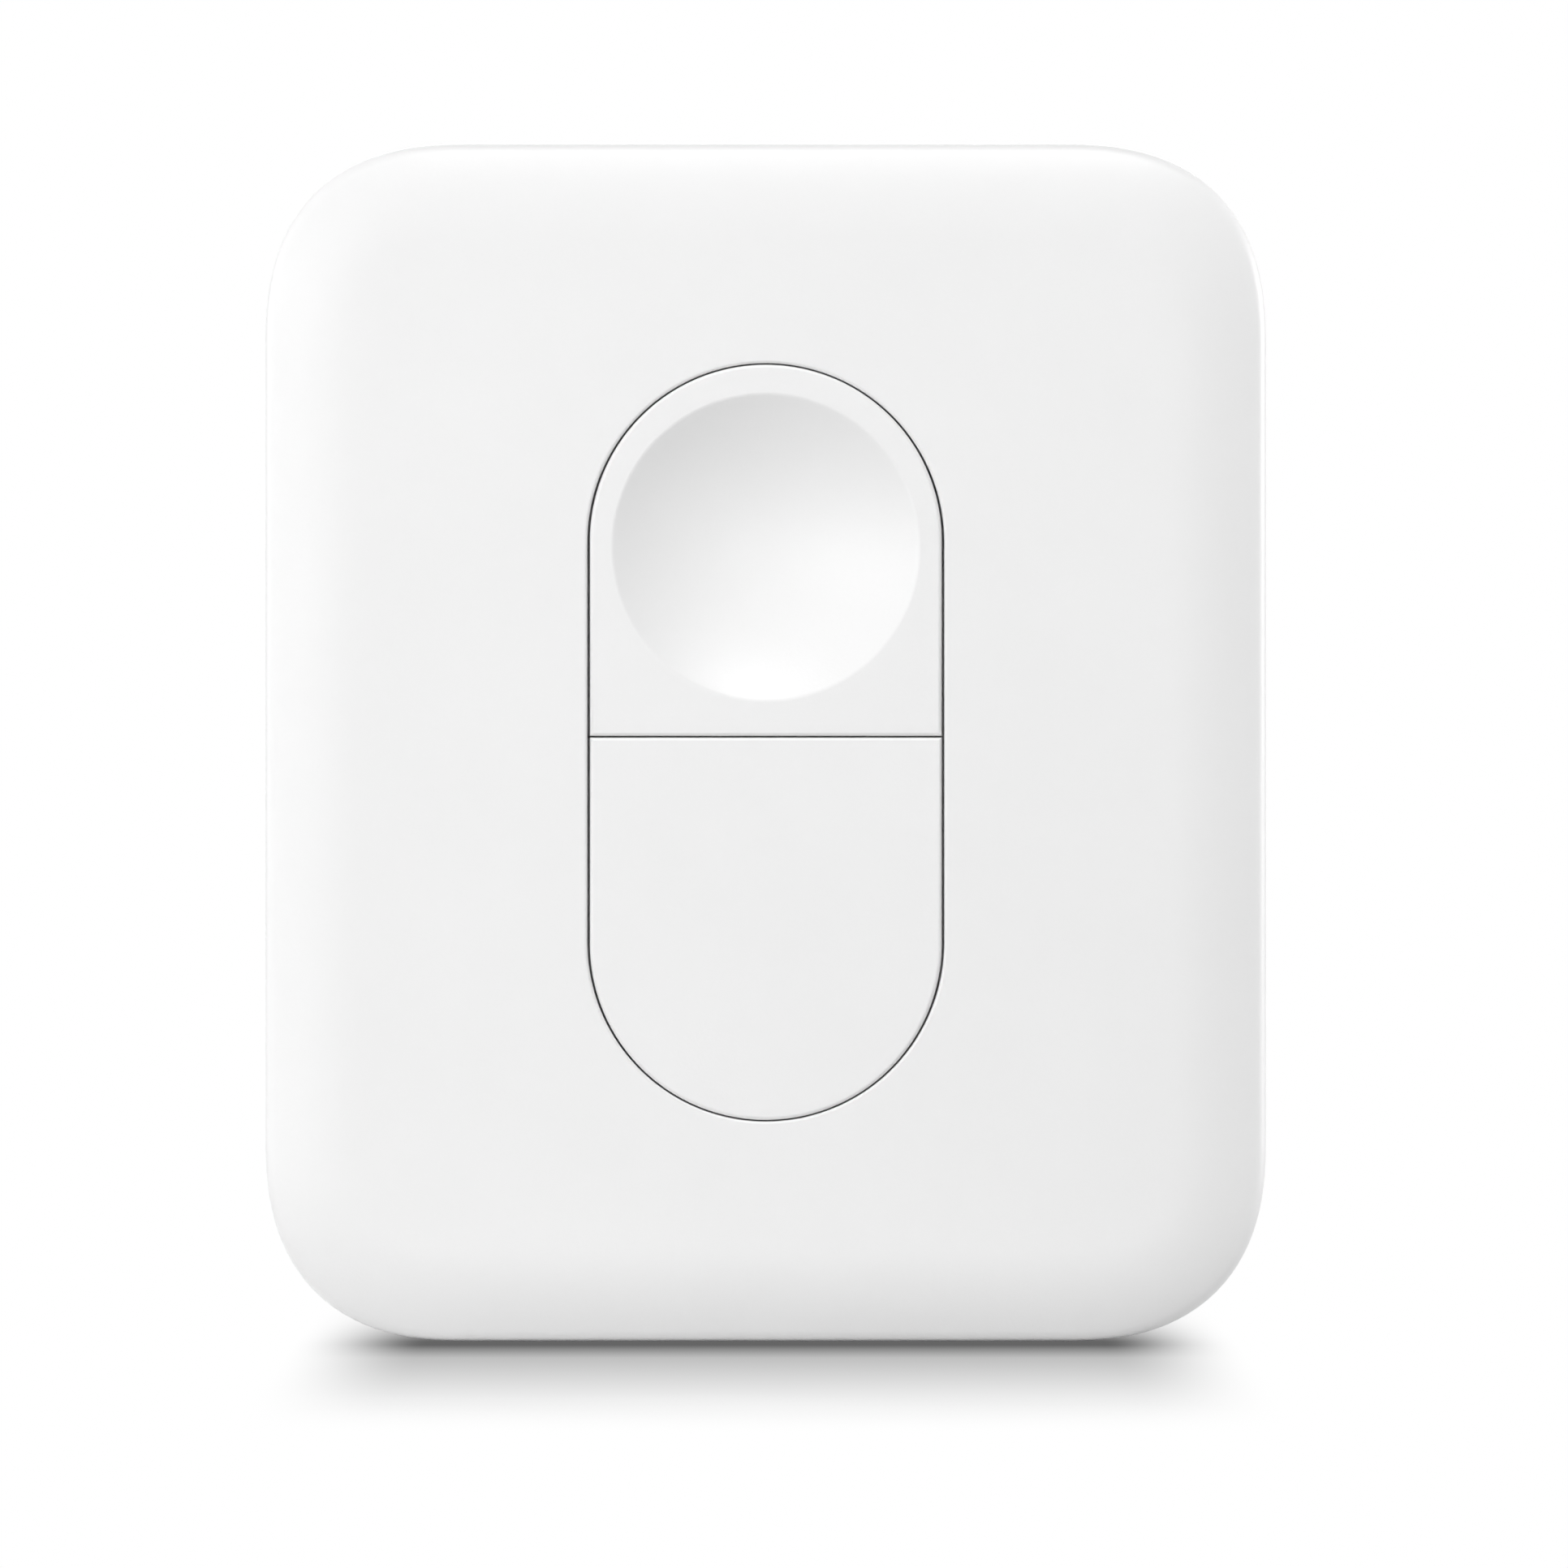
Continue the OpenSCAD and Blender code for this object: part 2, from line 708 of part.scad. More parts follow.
// Ring that holds the cell and clamps the board, on feet that stand on the rear cover
module cell_holder() {
    half = foot_angle / 2;
    color("darkgray") difference() {
        union() {
            ring(spigot_in_r, holder_r, holder_z, board_z);
            for (turn = [45 : 90 : 315]) {
                ring_sector(holder_r - holder_t / 2, hatch_ring_r, holder_z, board_z, turn - half, turn + half);
                ring_sector(notch_r + door_gap, hatch_ring_r, hatch_lip_top, board_z, turn - half, turn + half);
            }
        }
        slab(holder_r, 0, 2 * holder_t + over, blade_w + 2 * window_gap, holder_z - over, board_z + over);
    }
}

// Spring on the board that presses two fingers on the cell's cap
module negative_contact() {
    bend_x = -finger_l / 2;
    touch_x = finger_l / 2;
    tip_x = touch_x + tip_l;
    touch_z = cell_top + touch_gap;
    tip_z = touch_z + tip_rise;
    finger_y = (finger_w + finger_gap) / 2;
    color("goldenrod") {
        slab(bend_x - base_l / 2, 0, base_l, 2 * finger_w + finger_gap, board_z - contact_t, board_z);
        for (side = [1, -1]) translate([0, side * finger_y + finger_w / 2, 0]) rotate([90, 0, 0])
            linear_extrude(finger_w) polygon([
                [bend_x, board_z], [bend_x, board_z - contact_t], [touch_x, touch_z], [tip_x, tip_z],
                [tip_x, tip_z + contact_t], [touch_x, touch_z + contact_t],
            ]);
    }
}

// Blade from the board that bears on the side of the cell's can
module positive_contact() {
    touch_x = cell_r + touch_gap;
    top_x = touch_x + blade_bow;
    foot_x = top_x + blade_foot_l;
    touch_z = (cell_z + cell_top) / 2;
    low_z = holder_z + blade_end_gap;
    color("goldenrod") translate([0, blade_w / 2, 0]) rotate([90, 0, 0]) linear_extrude(blade_w) polygon([
        [foot_x, board_z], [top_x, board_z], [touch_x, touch_z], [top_x, low_z],
        [top_x + contact_t, low_z], [touch_x + contact_t, touch_z], [top_x + contact_t, board_z - contact_t],
        [foot_x, board_z - contact_t],
    ]);
}

// A turned piece of the cell, with its section measured from the can's face
module turned(points) {
    translate([0, 0, cell_z]) rotate_extrude() polygon(points);
}

module cell_can() {
    color(steel) turned([
        [0, 0], [cell_r - cell_edge, 0], [cell_r, cell_edge], [cell_r, can_z], [cell_r - cell_edge, crimp_z],
        [crimp_r, crimp_z], [crimp_r, crimp_z - can_t], [cell_r - can_t, can_z - can_t],
        [cell_r - can_t, cell_edge], [cell_r - cell_edge, can_t], [0, can_t],
    ]);
}

module cell_cap() {
    color(steel) turned([
        [0, cell_t], [cap_r - cell_edge, cell_t], [cap_r, cell_t - cell_edge], [cap_r, can_z - can_t],
        [cap_r - can_t, can_z - can_t], [cap_r - can_t, cell_t - cell_edge - can_t],
        [cap_r - cell_edge - can_t, cell_t - can_t], [0, cell_t - can_t],
    ]);
}

// Seal between the can and the cap
module cell_gasket() {
    color("gray") turned([
        [cap_r, can_z - can_t], [crimp_r, can_z - can_t], [crimp_r, crimp_z], [cap_r, crimp_z],
    ]);
}

// The cell's electrodes, as one disc
module cell_core() {
    core_r = cell_r - cell_edge - can_t;
    core_z = can_z - 2 * can_t;
    color("dimgray") turned([[0, can_t], [core_r, can_t], [core_r, core_z], [0, core_z]]);
}

// Round door with a coin slot, and lugs that hook behind the rear cover
module battery_door() {
    half = lug_angle / 2;
    color(shell_white) difference() {
        union() {
            rod(door_r, 0, door_t);
            ring(spigot_in_r, spigot_r, door_t, lug_top);
            for (middle = lug_middles)
                ring_sector(spigot_r - spigot_t / 2, lug_r, lug_z, lug_top, middle - half, middle + half);
        }
        slab(0, 0, slot_l, slot_w, -over, slot_d);
    }
}

stand() front_cover();
stand() rear_cover();
stand() case_screws();
stand() adhesive_strip(1);  // upper_adhesive_strip
stand() adhesive_strip(-1);  // lower_adhesive_strip
stand() upper_key();
stand() lower_key();
stand() keypad();
stand() switch_base(upper_y);  // upper_switch_base
stand() switch_dome(upper_y);  // upper_switch_dome
stand() switch_plunger(upper_y);  // upper_switch_plunger
stand() switch_cover(upper_y);  // upper_switch_cover
stand() switch_base(lower_y);  // lower_switch_base
stand() switch_dome(lower_y);  // lower_switch_dome
stand() switch_plunger(lower_y);  // lower_switch_plunger
stand() switch_cover(lower_y);  // lower_switch_cover
stand() switch_terminals();
stand() circuit_board();
stand() radio_chip();
stand() crystal();
stand() inductor();
stand() chip_antenna();
stand() status_led();
stand() capacitors();
stand() resistors();
stand() cell_holder();
stand() negative_contact();
stand() positive_contact();
stand() cell_can();
stand() cell_cap();
stand() cell_gasket();
stand() cell_core();
stand() battery_door();
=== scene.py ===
"""Smart button: models and finishes the pieces that show, around the packed model as a fixed frame."""

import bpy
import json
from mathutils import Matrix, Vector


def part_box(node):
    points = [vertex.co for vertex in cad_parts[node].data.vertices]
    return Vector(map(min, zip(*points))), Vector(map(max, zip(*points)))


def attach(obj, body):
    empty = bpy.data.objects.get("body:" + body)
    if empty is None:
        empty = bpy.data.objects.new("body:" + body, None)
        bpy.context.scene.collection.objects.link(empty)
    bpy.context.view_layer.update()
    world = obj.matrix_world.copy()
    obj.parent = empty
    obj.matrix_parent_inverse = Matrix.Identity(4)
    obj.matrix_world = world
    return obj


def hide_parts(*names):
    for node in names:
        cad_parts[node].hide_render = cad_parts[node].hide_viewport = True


bl_info = {
    "name": "Smart Button",
    "version": (1, 0, 0),
    "blender": (4, 5, 0),
    "location": "3D View > Sidebar > Smart Button",
    "description": "Models and finishes a wireless smart button around its packed frame",
    "category": "Object",
}

import json
import math

import bpy
from bpy.props import FloatProperty, FloatVectorProperty, PointerProperty
from bpy.types import Operator, Panel, PropertyGroup
from mathutils import Vector

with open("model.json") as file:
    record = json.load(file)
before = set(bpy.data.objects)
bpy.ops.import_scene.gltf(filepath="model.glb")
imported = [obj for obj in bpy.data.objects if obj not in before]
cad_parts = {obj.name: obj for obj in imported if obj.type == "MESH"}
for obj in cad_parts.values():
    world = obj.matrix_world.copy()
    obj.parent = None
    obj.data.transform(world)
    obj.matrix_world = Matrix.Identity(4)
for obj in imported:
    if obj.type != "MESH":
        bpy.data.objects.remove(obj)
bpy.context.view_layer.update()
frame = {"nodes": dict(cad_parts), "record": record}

# Lengths are in metres, and this is a millimetre
MM = 0.001

# Sizes and places that come from the frame
FRONT_LOW, FRONT_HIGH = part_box("front_cover")
REAR_LOW, REAR_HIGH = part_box("rear_cover")
UPPER_LOW, UPPER_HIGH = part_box("upper_key")
LOWER_LOW, LOWER_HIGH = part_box("lower_key")
DOOR_LOW, DOOR_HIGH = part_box("battery_door")
SCREW_LOW, SCREW_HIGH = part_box("case_screws")
FACE_Y = FRONT_LOW.y
PARTING_Y = FRONT_HIGH.y
BACK_Y = REAR_HIGH.y
MIDDLE_Z = (FRONT_LOW.z + FRONT_HIGH.z) / 2
SPLIT_Z = (UPPER_LOW.z + LOWER_HIGH.z) / 2
DOOR_X = (DOOR_LOW.x + DOOR_HIGH.x) / 2
DOOR_Z = (DOOR_LOW.z + DOOR_HIGH.z) / 2
DOOR_RADIUS = (DOOR_HIGH.x - DOOR_LOW.x) / 2

# The battery door's lugs point these ways, turned up from the right
LUG_TURNS = tuple(math.radians(degrees) for degrees in (90, 210, 330))
# How near two coordinates have to be to count as the same
TINY = 3e-6
# A cut goes this far past the surface that it opens
OVER = 1 * MM
# Faces that meet at less than this angle are shaded as one surface
SMOOTH_ANGLE = math.radians(32)
# A face looks to the front if its normal points that way by at least this much
FACING = 0.9
# Most of a noise pattern's values lie between these
NOISE_LOW, NOISE_HIGH = 0.3, 0.7

# The camera shows nothing nearer or farther than this
CLIP_NEAR, CLIP_FAR = 3 * MM, 100
# The floor is a disc of this radius
FLOOR_RADIUS = 4
# How far in front of the case's face, and how bright the painted shadow on the floor is there
FLOOR_SHADE = (
    (40 * MM, 1.0),
    (25 * MM, 0.85),
    (7 * MM, 0.52),
    (0.9 * MM, 0.13),
    (-1 * MM, 0.13),
    (-12 * MM, 0.7),
    (-26 * MM, 1.0),
)
# Every lamp is this far from the face, and this wide
LAMP_DISTANCE = 0.5
LAMP_SIZE = 0.25
# Name, azimuth from the front towards the right, elevation and power of each lamp
LAMPS = (
    ("left_lamp", -60, 0, 0.76),
    ("front_left_lamp", -30, 0, 0.97),
    ("front_lamp", 0, 0, 0.42),
    ("top_lamp", 12, 60, 1.6),
    ("right_rim_lamp", 105, 5, 1.8),
    ("left_rim_lamp", -105, 5, 0.9),
    ("back_lamp", 180, 25, 0.85),
)


def length(name, description, default):
    """A property that holds a length in metres."""
    return FloatProperty(name=name, description=description, default=default, min=0,
                         precision=5, unit="LENGTH", subtype="DISTANCE")


def colour(name, description, default):
    """A property that holds a linear colour."""
    return FloatVectorProperty(name=name, description=description, default=default, size=3,
                               min=0, max=1, subtype="COLOR")


def angle(name, description, degrees):
    """A property that holds an angle."""
    return FloatProperty(name=name, description=description, default=math.radians(degrees), subtype="ANGLE")


def share(name, description, default):
    """A property that holds a number from 0 to 1."""
    return FloatProperty(name=name, description=description, default=default, min=0, max=1, subtype="FACTOR")


class CaseSizes(PropertyGroup):
    """Sizes of the front and rear covers"""
    corner_reach: length("Corner reach", "How far a soft corner reaches along each side of the outline",
                         7.3 * MM)
    corner_fullness: share("Corner fullness", "Profile of the outline's corners, 0.5 being a circle", 0.572)
    shoulder: length("Shoulder", "How far the soft shoulder reaches in from the sides", 3.3 * MM)
    shoulder_slope: angle("Shoulder slope", "Slope of the shoulder where its edge begins", 22)
    shoulder_edge: length("Shoulder edge", "Radius of the edge from the shoulder to the sides", 0.65 * MM)
    inner_edge: length("Inner edge", "Radius of the edge inside the front wall", 0.5 * MM)
    back_edge: length("Back edge", "Radius of the edge around the back", 1.2 * MM)
    parting_edge: length("Parting edge", "Softened edge on each side of the parting line", 0.1 * MM)
    wall: length("Wall", "Thickness of the walls", 1.4 * MM)
    lip: length("Lip", "Thickness of the rear cover's lip", 0.8 * MM)
    lip_gap: length("Lip gap", "Gap between the lip and the front cover", 0.1 * MM)
    opening_edge: length("Opening edge", "Softened edge of the opening for the keys", 0.11 * MM)
    boss_width: length("Boss width", "Diameter of the screw bosses", 3.8 * MM)
    pilot_width: length("Pilot width", "Diameter of the bores in the bosses", 1.7 * MM)
    pilot_depth: length("Pilot depth", "Depth of those bores", 3.8 * MM)
    well: length("Well", "Thickness of the wall round the keys' well", 0.8 * MM)


class KeySizes(PropertyGroup):
    """Sizes of the two keys"""
    gap: length("Gap", "Gap beside each key", 0.09 * MM)
    end_gap: length("End gap", "Gap at the round end of each key", 0.055 * MM)
    split_gap: length("Split gap", "Gap between the two keys", 0.055 * MM)
    flange: length("Flange", "How far a key's flange reaches behind the front wall", 0.7 * MM)
    flange_thickness: length("Flange thickness", "Thickness of a key's flange", 0.5 * MM)
    edge: length("Edge", "Softened edge round a key's face", 0.14 * MM)
    dish_width: length("Dish width", "Diameter of the dish in the upper key", 11.1 * MM)
    dish_depth: length("Dish depth", "Depth of the dish", 1.4 * MM)
    dish_edge: length("Dish edge", "Softened edge round the dish", 0.12 * MM)
    dish_rise: FloatProperty(name="Dish rise", description="Height of the dish above the middle of its key",
                             default=0.09 * MM, precision=5, unit="LENGTH", subtype="DISTANCE")


class BackSizes(PropertyGroup):
    """Sizes of what shows at the back"""
    seat_gap: length("Seat gap", "Gap round the battery door", 0.15 * MM)
    door_thickness: length("Door thickness", "Thickness of the battery door", 1.2 * MM)
    door_edge: length("Door edge", "Softened edge of the door", 0.25 * MM)
    spigot_width: length("Spigot width", "Outer diameter of the ring behind the door", 26.7 * MM)
    spigot_wall: length("Spigot wall", "Wall of that ring", 0.85 * MM)
    hatch_lip: length("Hatch lip", "Thickness of the lip that the door's lugs hook behind", 0.8 * MM)
    hatch_ring: length("Hatch ring", "Wall round the door's seat", 1 * MM)
    lug_reach: length("Lug reach", "How far the lugs reach past the ring", 0.8 * MM)
    lug_thickness: length("Lug thickness", "Thickness of the lugs", 0.8 * MM)
    lug_width: length("Lug width", "Width of the lugs", 5.8 * MM)
    lug_turn: angle("Lug turn", "Angle that the door turns until its lugs reach their notches", 35)
    mark_width: length("Mark width", "Diameter of the dimples that mark the door's two places", 0.9 * MM)
    mark_depth: length("Mark depth", "Depth of those dimples", 0.15 * MM)
    mark_inset: length("Mark inset", "Distance from the door's edge to the dimples on either side", 1.2 * MM)
    slot_length: length("Slot length", "Length of the coin slot", 14 * MM)
    slot_width: length("Slot width", "Width of the coin slot", 1.8 * MM)
    slot_depth: length("Slot depth", "Depth of the coin slot", 0.7 * MM)
    head_width: length("Screw head", "Diameter of the screw heads", 3 * MM)
    head_height: length("Head height", "Height of the screw heads", 0.9 * MM)
    head_gap: length("Head gap", "Gap round the screw heads", 0.1 * MM)
    shank_width: length("Shank", "Diameter of the screws", 1.6 * MM)
    cross_length: length("Cross length", "Length of the cross in a screw head", 1.8 * MM)
    cross_width: length("Cross width", "Width of the cross's slots", 0.5 * MM)
    cross_depth: length("Cross depth", "Depth of the cross", 0.55 * MM)
    strip_corner: length("Strip corner", "Radius of the foam strips' corners", 0.6 * MM)
    strip_gap: length("Strip gap", "Gap round a strip in its recess", 0.1 * MM)


class Finishes(PropertyGroup):
    """Colours and sheen of the pieces that show"""
    plastic: colour("Plastic", "Colour of the moulded plastic", (0.88, 0.88, 0.88))
    plastic_roughness: share("Plastic roughness", "Roughness of the satin plastic", 0.42)
    steel: colour("Steel", "Colour of the screws", (0.62, 0.63, 0.65))
    foam: colour("Foam", "Colour of the adhesive foam", (0.80, 0.80, 0.78))
    board: colour("Board", "Colour of the circuit board's lacquer", (0.02, 0.16, 0.07))


class StageSettings(PropertyGroup):
    """Camera, floor and light"""
    distance: length("Distance", "Distance from the camera to the face", 0.3)
    view_width: length("View width", "Width of the picture at the widest section of the case", 56.43 * MM)
    shift_right: FloatProperty(name="Shift right", description="Camera shift to the right", default=0.0116)
    shift_up: FloatProperty(name="Shift up", description="Camera shift upwards", default=-0.0266)
    left_bounce: share("Left bounce", "Share of the light that the floor throws back on the left", 0.76)
    right_bounce: share("Right bounce", "Share of the light that the floor throws back on the right", 0.6)
    # These shadow settings shape the painted contact shadow that the floor emits
    shadow_reach: length("Shadow reach", "How far the contact shadow reaches in front of the case", 40 * MM)
    shadow_full: length("Shadow full", "Distance from the middle within which the shadow is full", 12.1 * MM)
    shadow_end: length("Shadow end", "Distance from the middle at which the shadow ends", 17 * MM)
    shadow_start: share("Shadow start", "How open the floor is, at most, where the shadow is full", 0.95)


# Selecting, cutting and joining

def clear_selection():
    """Goes back to object mode with nothing selected."""
    if bpy.context.mode != "OBJECT":
        bpy.ops.object.mode_set(mode="OBJECT")
    bpy.ops.object.select_all(action="DESELECT")


def make_active(piece):
    """Selects one piece alone."""
    clear_selection()
    piece.select_set(True)
    bpy.context.view_layer.objects.active = piece


def settle(name):
    """Names the new primitive and puts its place and size into its mesh."""
    piece = bpy.context.object
    piece.name = name
    piece.data.name = name
    bpy.ops.object.transform_apply(location=True, rotation=True, scale=True)
    return piece


def add_block(name, low, high):
    """A box between two corners."""
    clear_selection()
    low, high = Vector(low), Vector(high)
    bpy.ops.mesh.primitive_cube_add(size=1, location=(low + high) / 2, scale=high - low)
    return settle(name)


def add_bar(name, x, z, radius, low_y, high_y, sides=64):
    """A round bar along Y."""
    clear_selection()
    bpy.ops.mesh.primitive_cylinder_add(vertices=sides, radius=radius, depth=high_y - low_y,
                                        location=(x, (low_y + high_y) / 2, z), rotation=(math.pi / 2, 0, 0))
    return settle(name)


def add_lug(name, x, z, radius, width, turn, low_y, high_y):
    """A straight arm from the middle of a round bar along Y to its side, turned about the bar."""
    arm = add_block(name, (x, low_y, z - width / 2), (x + radius + OVER, high_y, z + width / 2))
    bpy.ops.transform.rotate(value=turn, orient_axis="Y", center_override=(x, 0, z))
    bpy.ops.object.transform_apply(location=True, rotation=True, scale=True)
    combine(arm, add_bar("round", x, z, radius, low_y - OVER, high_y + OVER, sides=128), "INTERSECT")
    return arm


def unpick(piece):
    """Clears the selection inside a mesh."""
    for elements in (piece.data.vertices, piece.data.edges, piece.data.polygons):
        elements.foreach_set("select", [False] * len(elements))


def pick_edges(piece, wanted):
    """Enters edit mode with the edges selected whose two ends the test accepts."""
    make_active(piece)
    unpick(piece)
    points = piece.data.vertices
    for edge in piece.data.edges:
        first, second = (points[i] for i in edge.vertices)
        if wanted(first.co, second.co):
            edge.select = first.select = second.select = True
    bpy.context.tool_settings.mesh_select_mode = (False, True, False)
    bpy.ops.object.mode_set(mode="EDIT")


def pick_faces(piece, wanted):
    """Enters edit mode with the faces selected that the test accepts."""
    make_active(piece)
    unpick(piece)
    for face in piece.data.polygons:
        face.select = wanted(face.center, face.normal)
    bpy.context.tool_settings.mesh_select_mode = (False, False, True)
    bpy.ops.object.mode_set(mode="EDIT")


def round_edges(piece, wanted, width, segments, fullness=0.5):
    """Bevels the edges that the test accepts."""
    pick_edges(piece, wanted)
    bpy.ops.mesh.bevel(offset=width, offset_type="OFFSET", segments=segments, profile=fullness,
                       affect="EDGES", clamp_overlap=False)
    bpy.ops.object.mode_set(mode="OBJECT")


def combine(piece, other, operation):
    """Cuts another piece out of this one, or joins it on, and removes the other piece."""
    make_active(piece)
    modifier = piece.modifiers.new("combine", "BOOLEAN")
    modifier.operation = operation
    modifier.solver = "EXACT"
    modifier.object = other
    bpy.ops.object.modifier_apply(modifier=modifier.name)
    mesh = other.data
    bpy.data.objects.remove(other)
    bpy.data.meshes.remove(mesh)


def cut(piece, *cutters):
    """Cuts other pieces out of this one."""
    for cutter in cutters:
        combine(piece, cutter, "DIFFERENCE")


def join(piece, *others):
    """Joins other pieces on to this one."""
    for other in others:
        combine(piece, other, "UNION")


def along_y(first, second):
    """Whether an edge runs along Y."""
    return abs(first.x - second.x) < TINY and abs(first.z - second.z) < TINY


def at_level(y):
    """A test for the edges that lie at that Y."""
    return lambda first, second: abs(first.y - y) < TINY and abs(second.y - y) < TINY


def finish_piece(piece, material, body, slot, *nodes):
    """Shades a piece, gives it its finish and hands it to the body that it moves with."""
    make_active(piece)
    bpy.ops.object.shade_smooth_by_angle(angle=SMOOTH_ANGLE)
    modifier = piece.modifiers.new("even_shading", "WEIGHTED_NORMAL")
    modifier.keep_sharp = True
    bpy.ops.object.modifier_apply(modifier=modifier.name)
    piece.data.materials.clear()
    piece.data.materials.append(material)
    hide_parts(*nodes)
    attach(piece, body)


# Shapes that several pieces share

def case_block(name, inset, low_y, high_y, case):
    """The case's outline, drawn in by inset, between two levels."""
    block = add_block(name, (FRONT_LOW.x + inset, low_y, FRONT_LOW.z + inset),
                      (FRONT_HIGH.x - inset, high_y, FRONT_HIGH.z - inset))
    round_edges(block, along_y, case.corner_reach - inset, segments=28, fullness=case.corner_fullness)
    return block


def shoulder_section(case):
    """Points of the shoulder from the side to the face: how far in, and how far below the face."""
    slope = case.shoulder_slope
    crown = (case.shoulder - case.shoulder_edge * (1 - math.sin(slope))) / math.sin(slope)
    drop = crown * (1 - math.cos(slope)) + case.shoulder_edge * math.cos(slope)
    steps = 8
    edge_tilts = [math.pi / 2 + (slope - math.pi / 2) * i / steps for i in range(steps + 1)]
    crown_tilts = [slope * (1 - i / steps) for i in range(1, steps + 1)]
    edge_points = [(case.shoulder_edge * (1 - math.sin(tilt)), drop - case.shoulder_edge * math.cos(tilt))
                   for tilt in edge_tilts]
    crown_points = [(case.shoulder - crown * math.sin(tilt), crown * (1 - math.cos(tilt)))
                    for tilt in crown_tilts]
    return edge_points + crown_points


def pill_block(name, half_width, low_z, high_z, low_y, high_y):
    """A pill that stands upright, between two levels."""
    block = add_block(name, (-half_width, low_y, low_z), (half_width, high_y, high_z))
    round_edges(block, along_y, half_width - TINY, segments=40)
    return block


def opening(keys):
    """Half width and lower and upper end of the opening for the keys."""
    return UPPER_HIGH.x - keys.flange, LOWER_LOW.z + keys.flange, UPPER_HIGH.z - keys.flange


def screw_places(back):
    """X and Z of the four screws."""
    inset = back.head_width / 2
    return [(x, z) for x in (SCREW_LOW.x + inset, SCREW_HIGH.x - inset)
            for z in (SCREW_LOW.z + inset, SCREW_HIGH.z - inset)]


# Finishes

def start_material(name):
    """A new material, its nodes, its links and its shader."""
    material = bpy.data.materials.new(name)
    material.use_nodes = True
    tree = material.node_tree
    shader = next(node for node in tree.nodes if node.type == "BSDF_PRINCIPLED")
    return material, tree.nodes, tree.links, shader


def noise(nodes, links, size, detail=2.0, stretch=(1, 1, 1)):
    """A noise pattern on the piece's own coordinates, whose grains are about that size."""
    place = nodes.new("ShaderNodeTexCoord")
    mapping = nodes.new("ShaderNodeMapping")
    mapping.inputs["Scale"].default_value = stretch
    pattern = nodes.new("ShaderNodeTexNoise")
    pattern.inputs["Scale"].default_value = 1 / size
    pattern.inputs["Detail"].default_value = detail
    links.new(place.outputs["Object"], mapping.inputs["Vector"])
    links.new(mapping.outputs["Vector"], pattern.inputs["Vector"])
    return pattern.outputs[0]


def vary_colour(nodes, links, shader, pattern, base, spread):
    """Lets the base colour wander a little either side of its mean."""
    ramp = nodes.new("ShaderNodeValToRGB")
    for element, gain in zip(ramp.color_ramp.elements, (1 - spread, 1 + spread)):
        element.color = (*(min(1, channel * gain) for channel in base), 1)
    ramp.color_ramp.elements[0].position = NOISE_LOW
    ramp.color_ramp.elements[1].position = NOISE_HIGH
    links.new(pattern, ramp.inputs["Fac"])
    links.new(ramp.outputs["Color"], shader.inputs["Base Color"])


def vary_roughness(nodes, links, shader, pattern, base, spread):
    """Lets the roughness wander a little either side of its mean."""
    spread_out = nodes.new("ShaderNodeMapRange")
    spread_out.inputs["From Min"].default_value = NOISE_LOW
    spread_out.inputs["From Max"].default_value = NOISE_HIGH
    spread_out.inputs["To Min"].default_value = base - spread
    spread_out.inputs["To Max"].default_value = base + spread
    links.new(pattern, spread_out.inputs["Value"])
    links.new(spread_out.outputs["Result"], shader.inputs["Roughness"])


def emboss(nodes, links, shader, pattern, depth):
    """Raises the surface by the pattern, to that depth."""
    bump = nodes.new("ShaderNodeBump")
    bump.inputs["Distance"].default_value = depth
    links.new(pattern, bump.inputs["Height"])
    links.new(bump.outputs["Normal"], shader.inputs["Normal"])


def satin_plastic(name, base, roughness):
    """Moulded plastic with a fine spark-eroded texture."""
    material, nodes, links, shader = start_material(name)
    vary_colour(nodes, links, shader, noise(nodes, links, size=6 * MM), base, spread=0.006)
    vary_roughness(nodes, links, shader, noise(nodes, links, size=0.5 * MM), roughness, spread=0.03)
    emboss(nodes, links, shader, noise(nodes, links, size=0.12 * MM, detail=3), depth=0.003 * MM)
    return material


def plastic(context, name):
    """The white satin plastic, made once for each name."""
    finishes = context.scene.finishes
    made = bpy.data.materials.get(name)
    return made or satin_plastic(name, finishes.plastic, finishes.plastic_roughness)


def metal(name, base, roughness, grain=0.3 * MM, stretch=(1, 1, 1)):
    """Metal with fine marks along its grain."""
    material, nodes, links, shader = start_material(name)
    shader.inputs["Metallic"].default_value = 1
    marks = noise(nodes, links, grain, detail=4, stretch=stretch)
    vary_colour(nodes, links, shader, noise(nodes, links, size=2 * MM), base, spread=0.05)
    vary_roughness(nodes, links, shader, marks, roughness, spread=0.08)
    emboss(nodes, links, shader, marks, depth=0.002 * MM)
    return material


def dull(name, base, roughness, grain, depth):
    """A matt finish with a grain, for rubber, foam, ceramic and moulding compounds."""
    material, nodes, links, shader = start_material(name)
    vary_colour(nodes, links, shader, noise(nodes, links, size=4 * grain), base, spread=0.06)
    vary_roughness(nodes, links, shader, noise(nodes, links, size=grain), roughness, spread=0.05)
    emboss(nodes, links, shader, noise(nodes, links, size=grain, detail=4), depth)
    return material


# The operators, one for each piece or group of like pieces

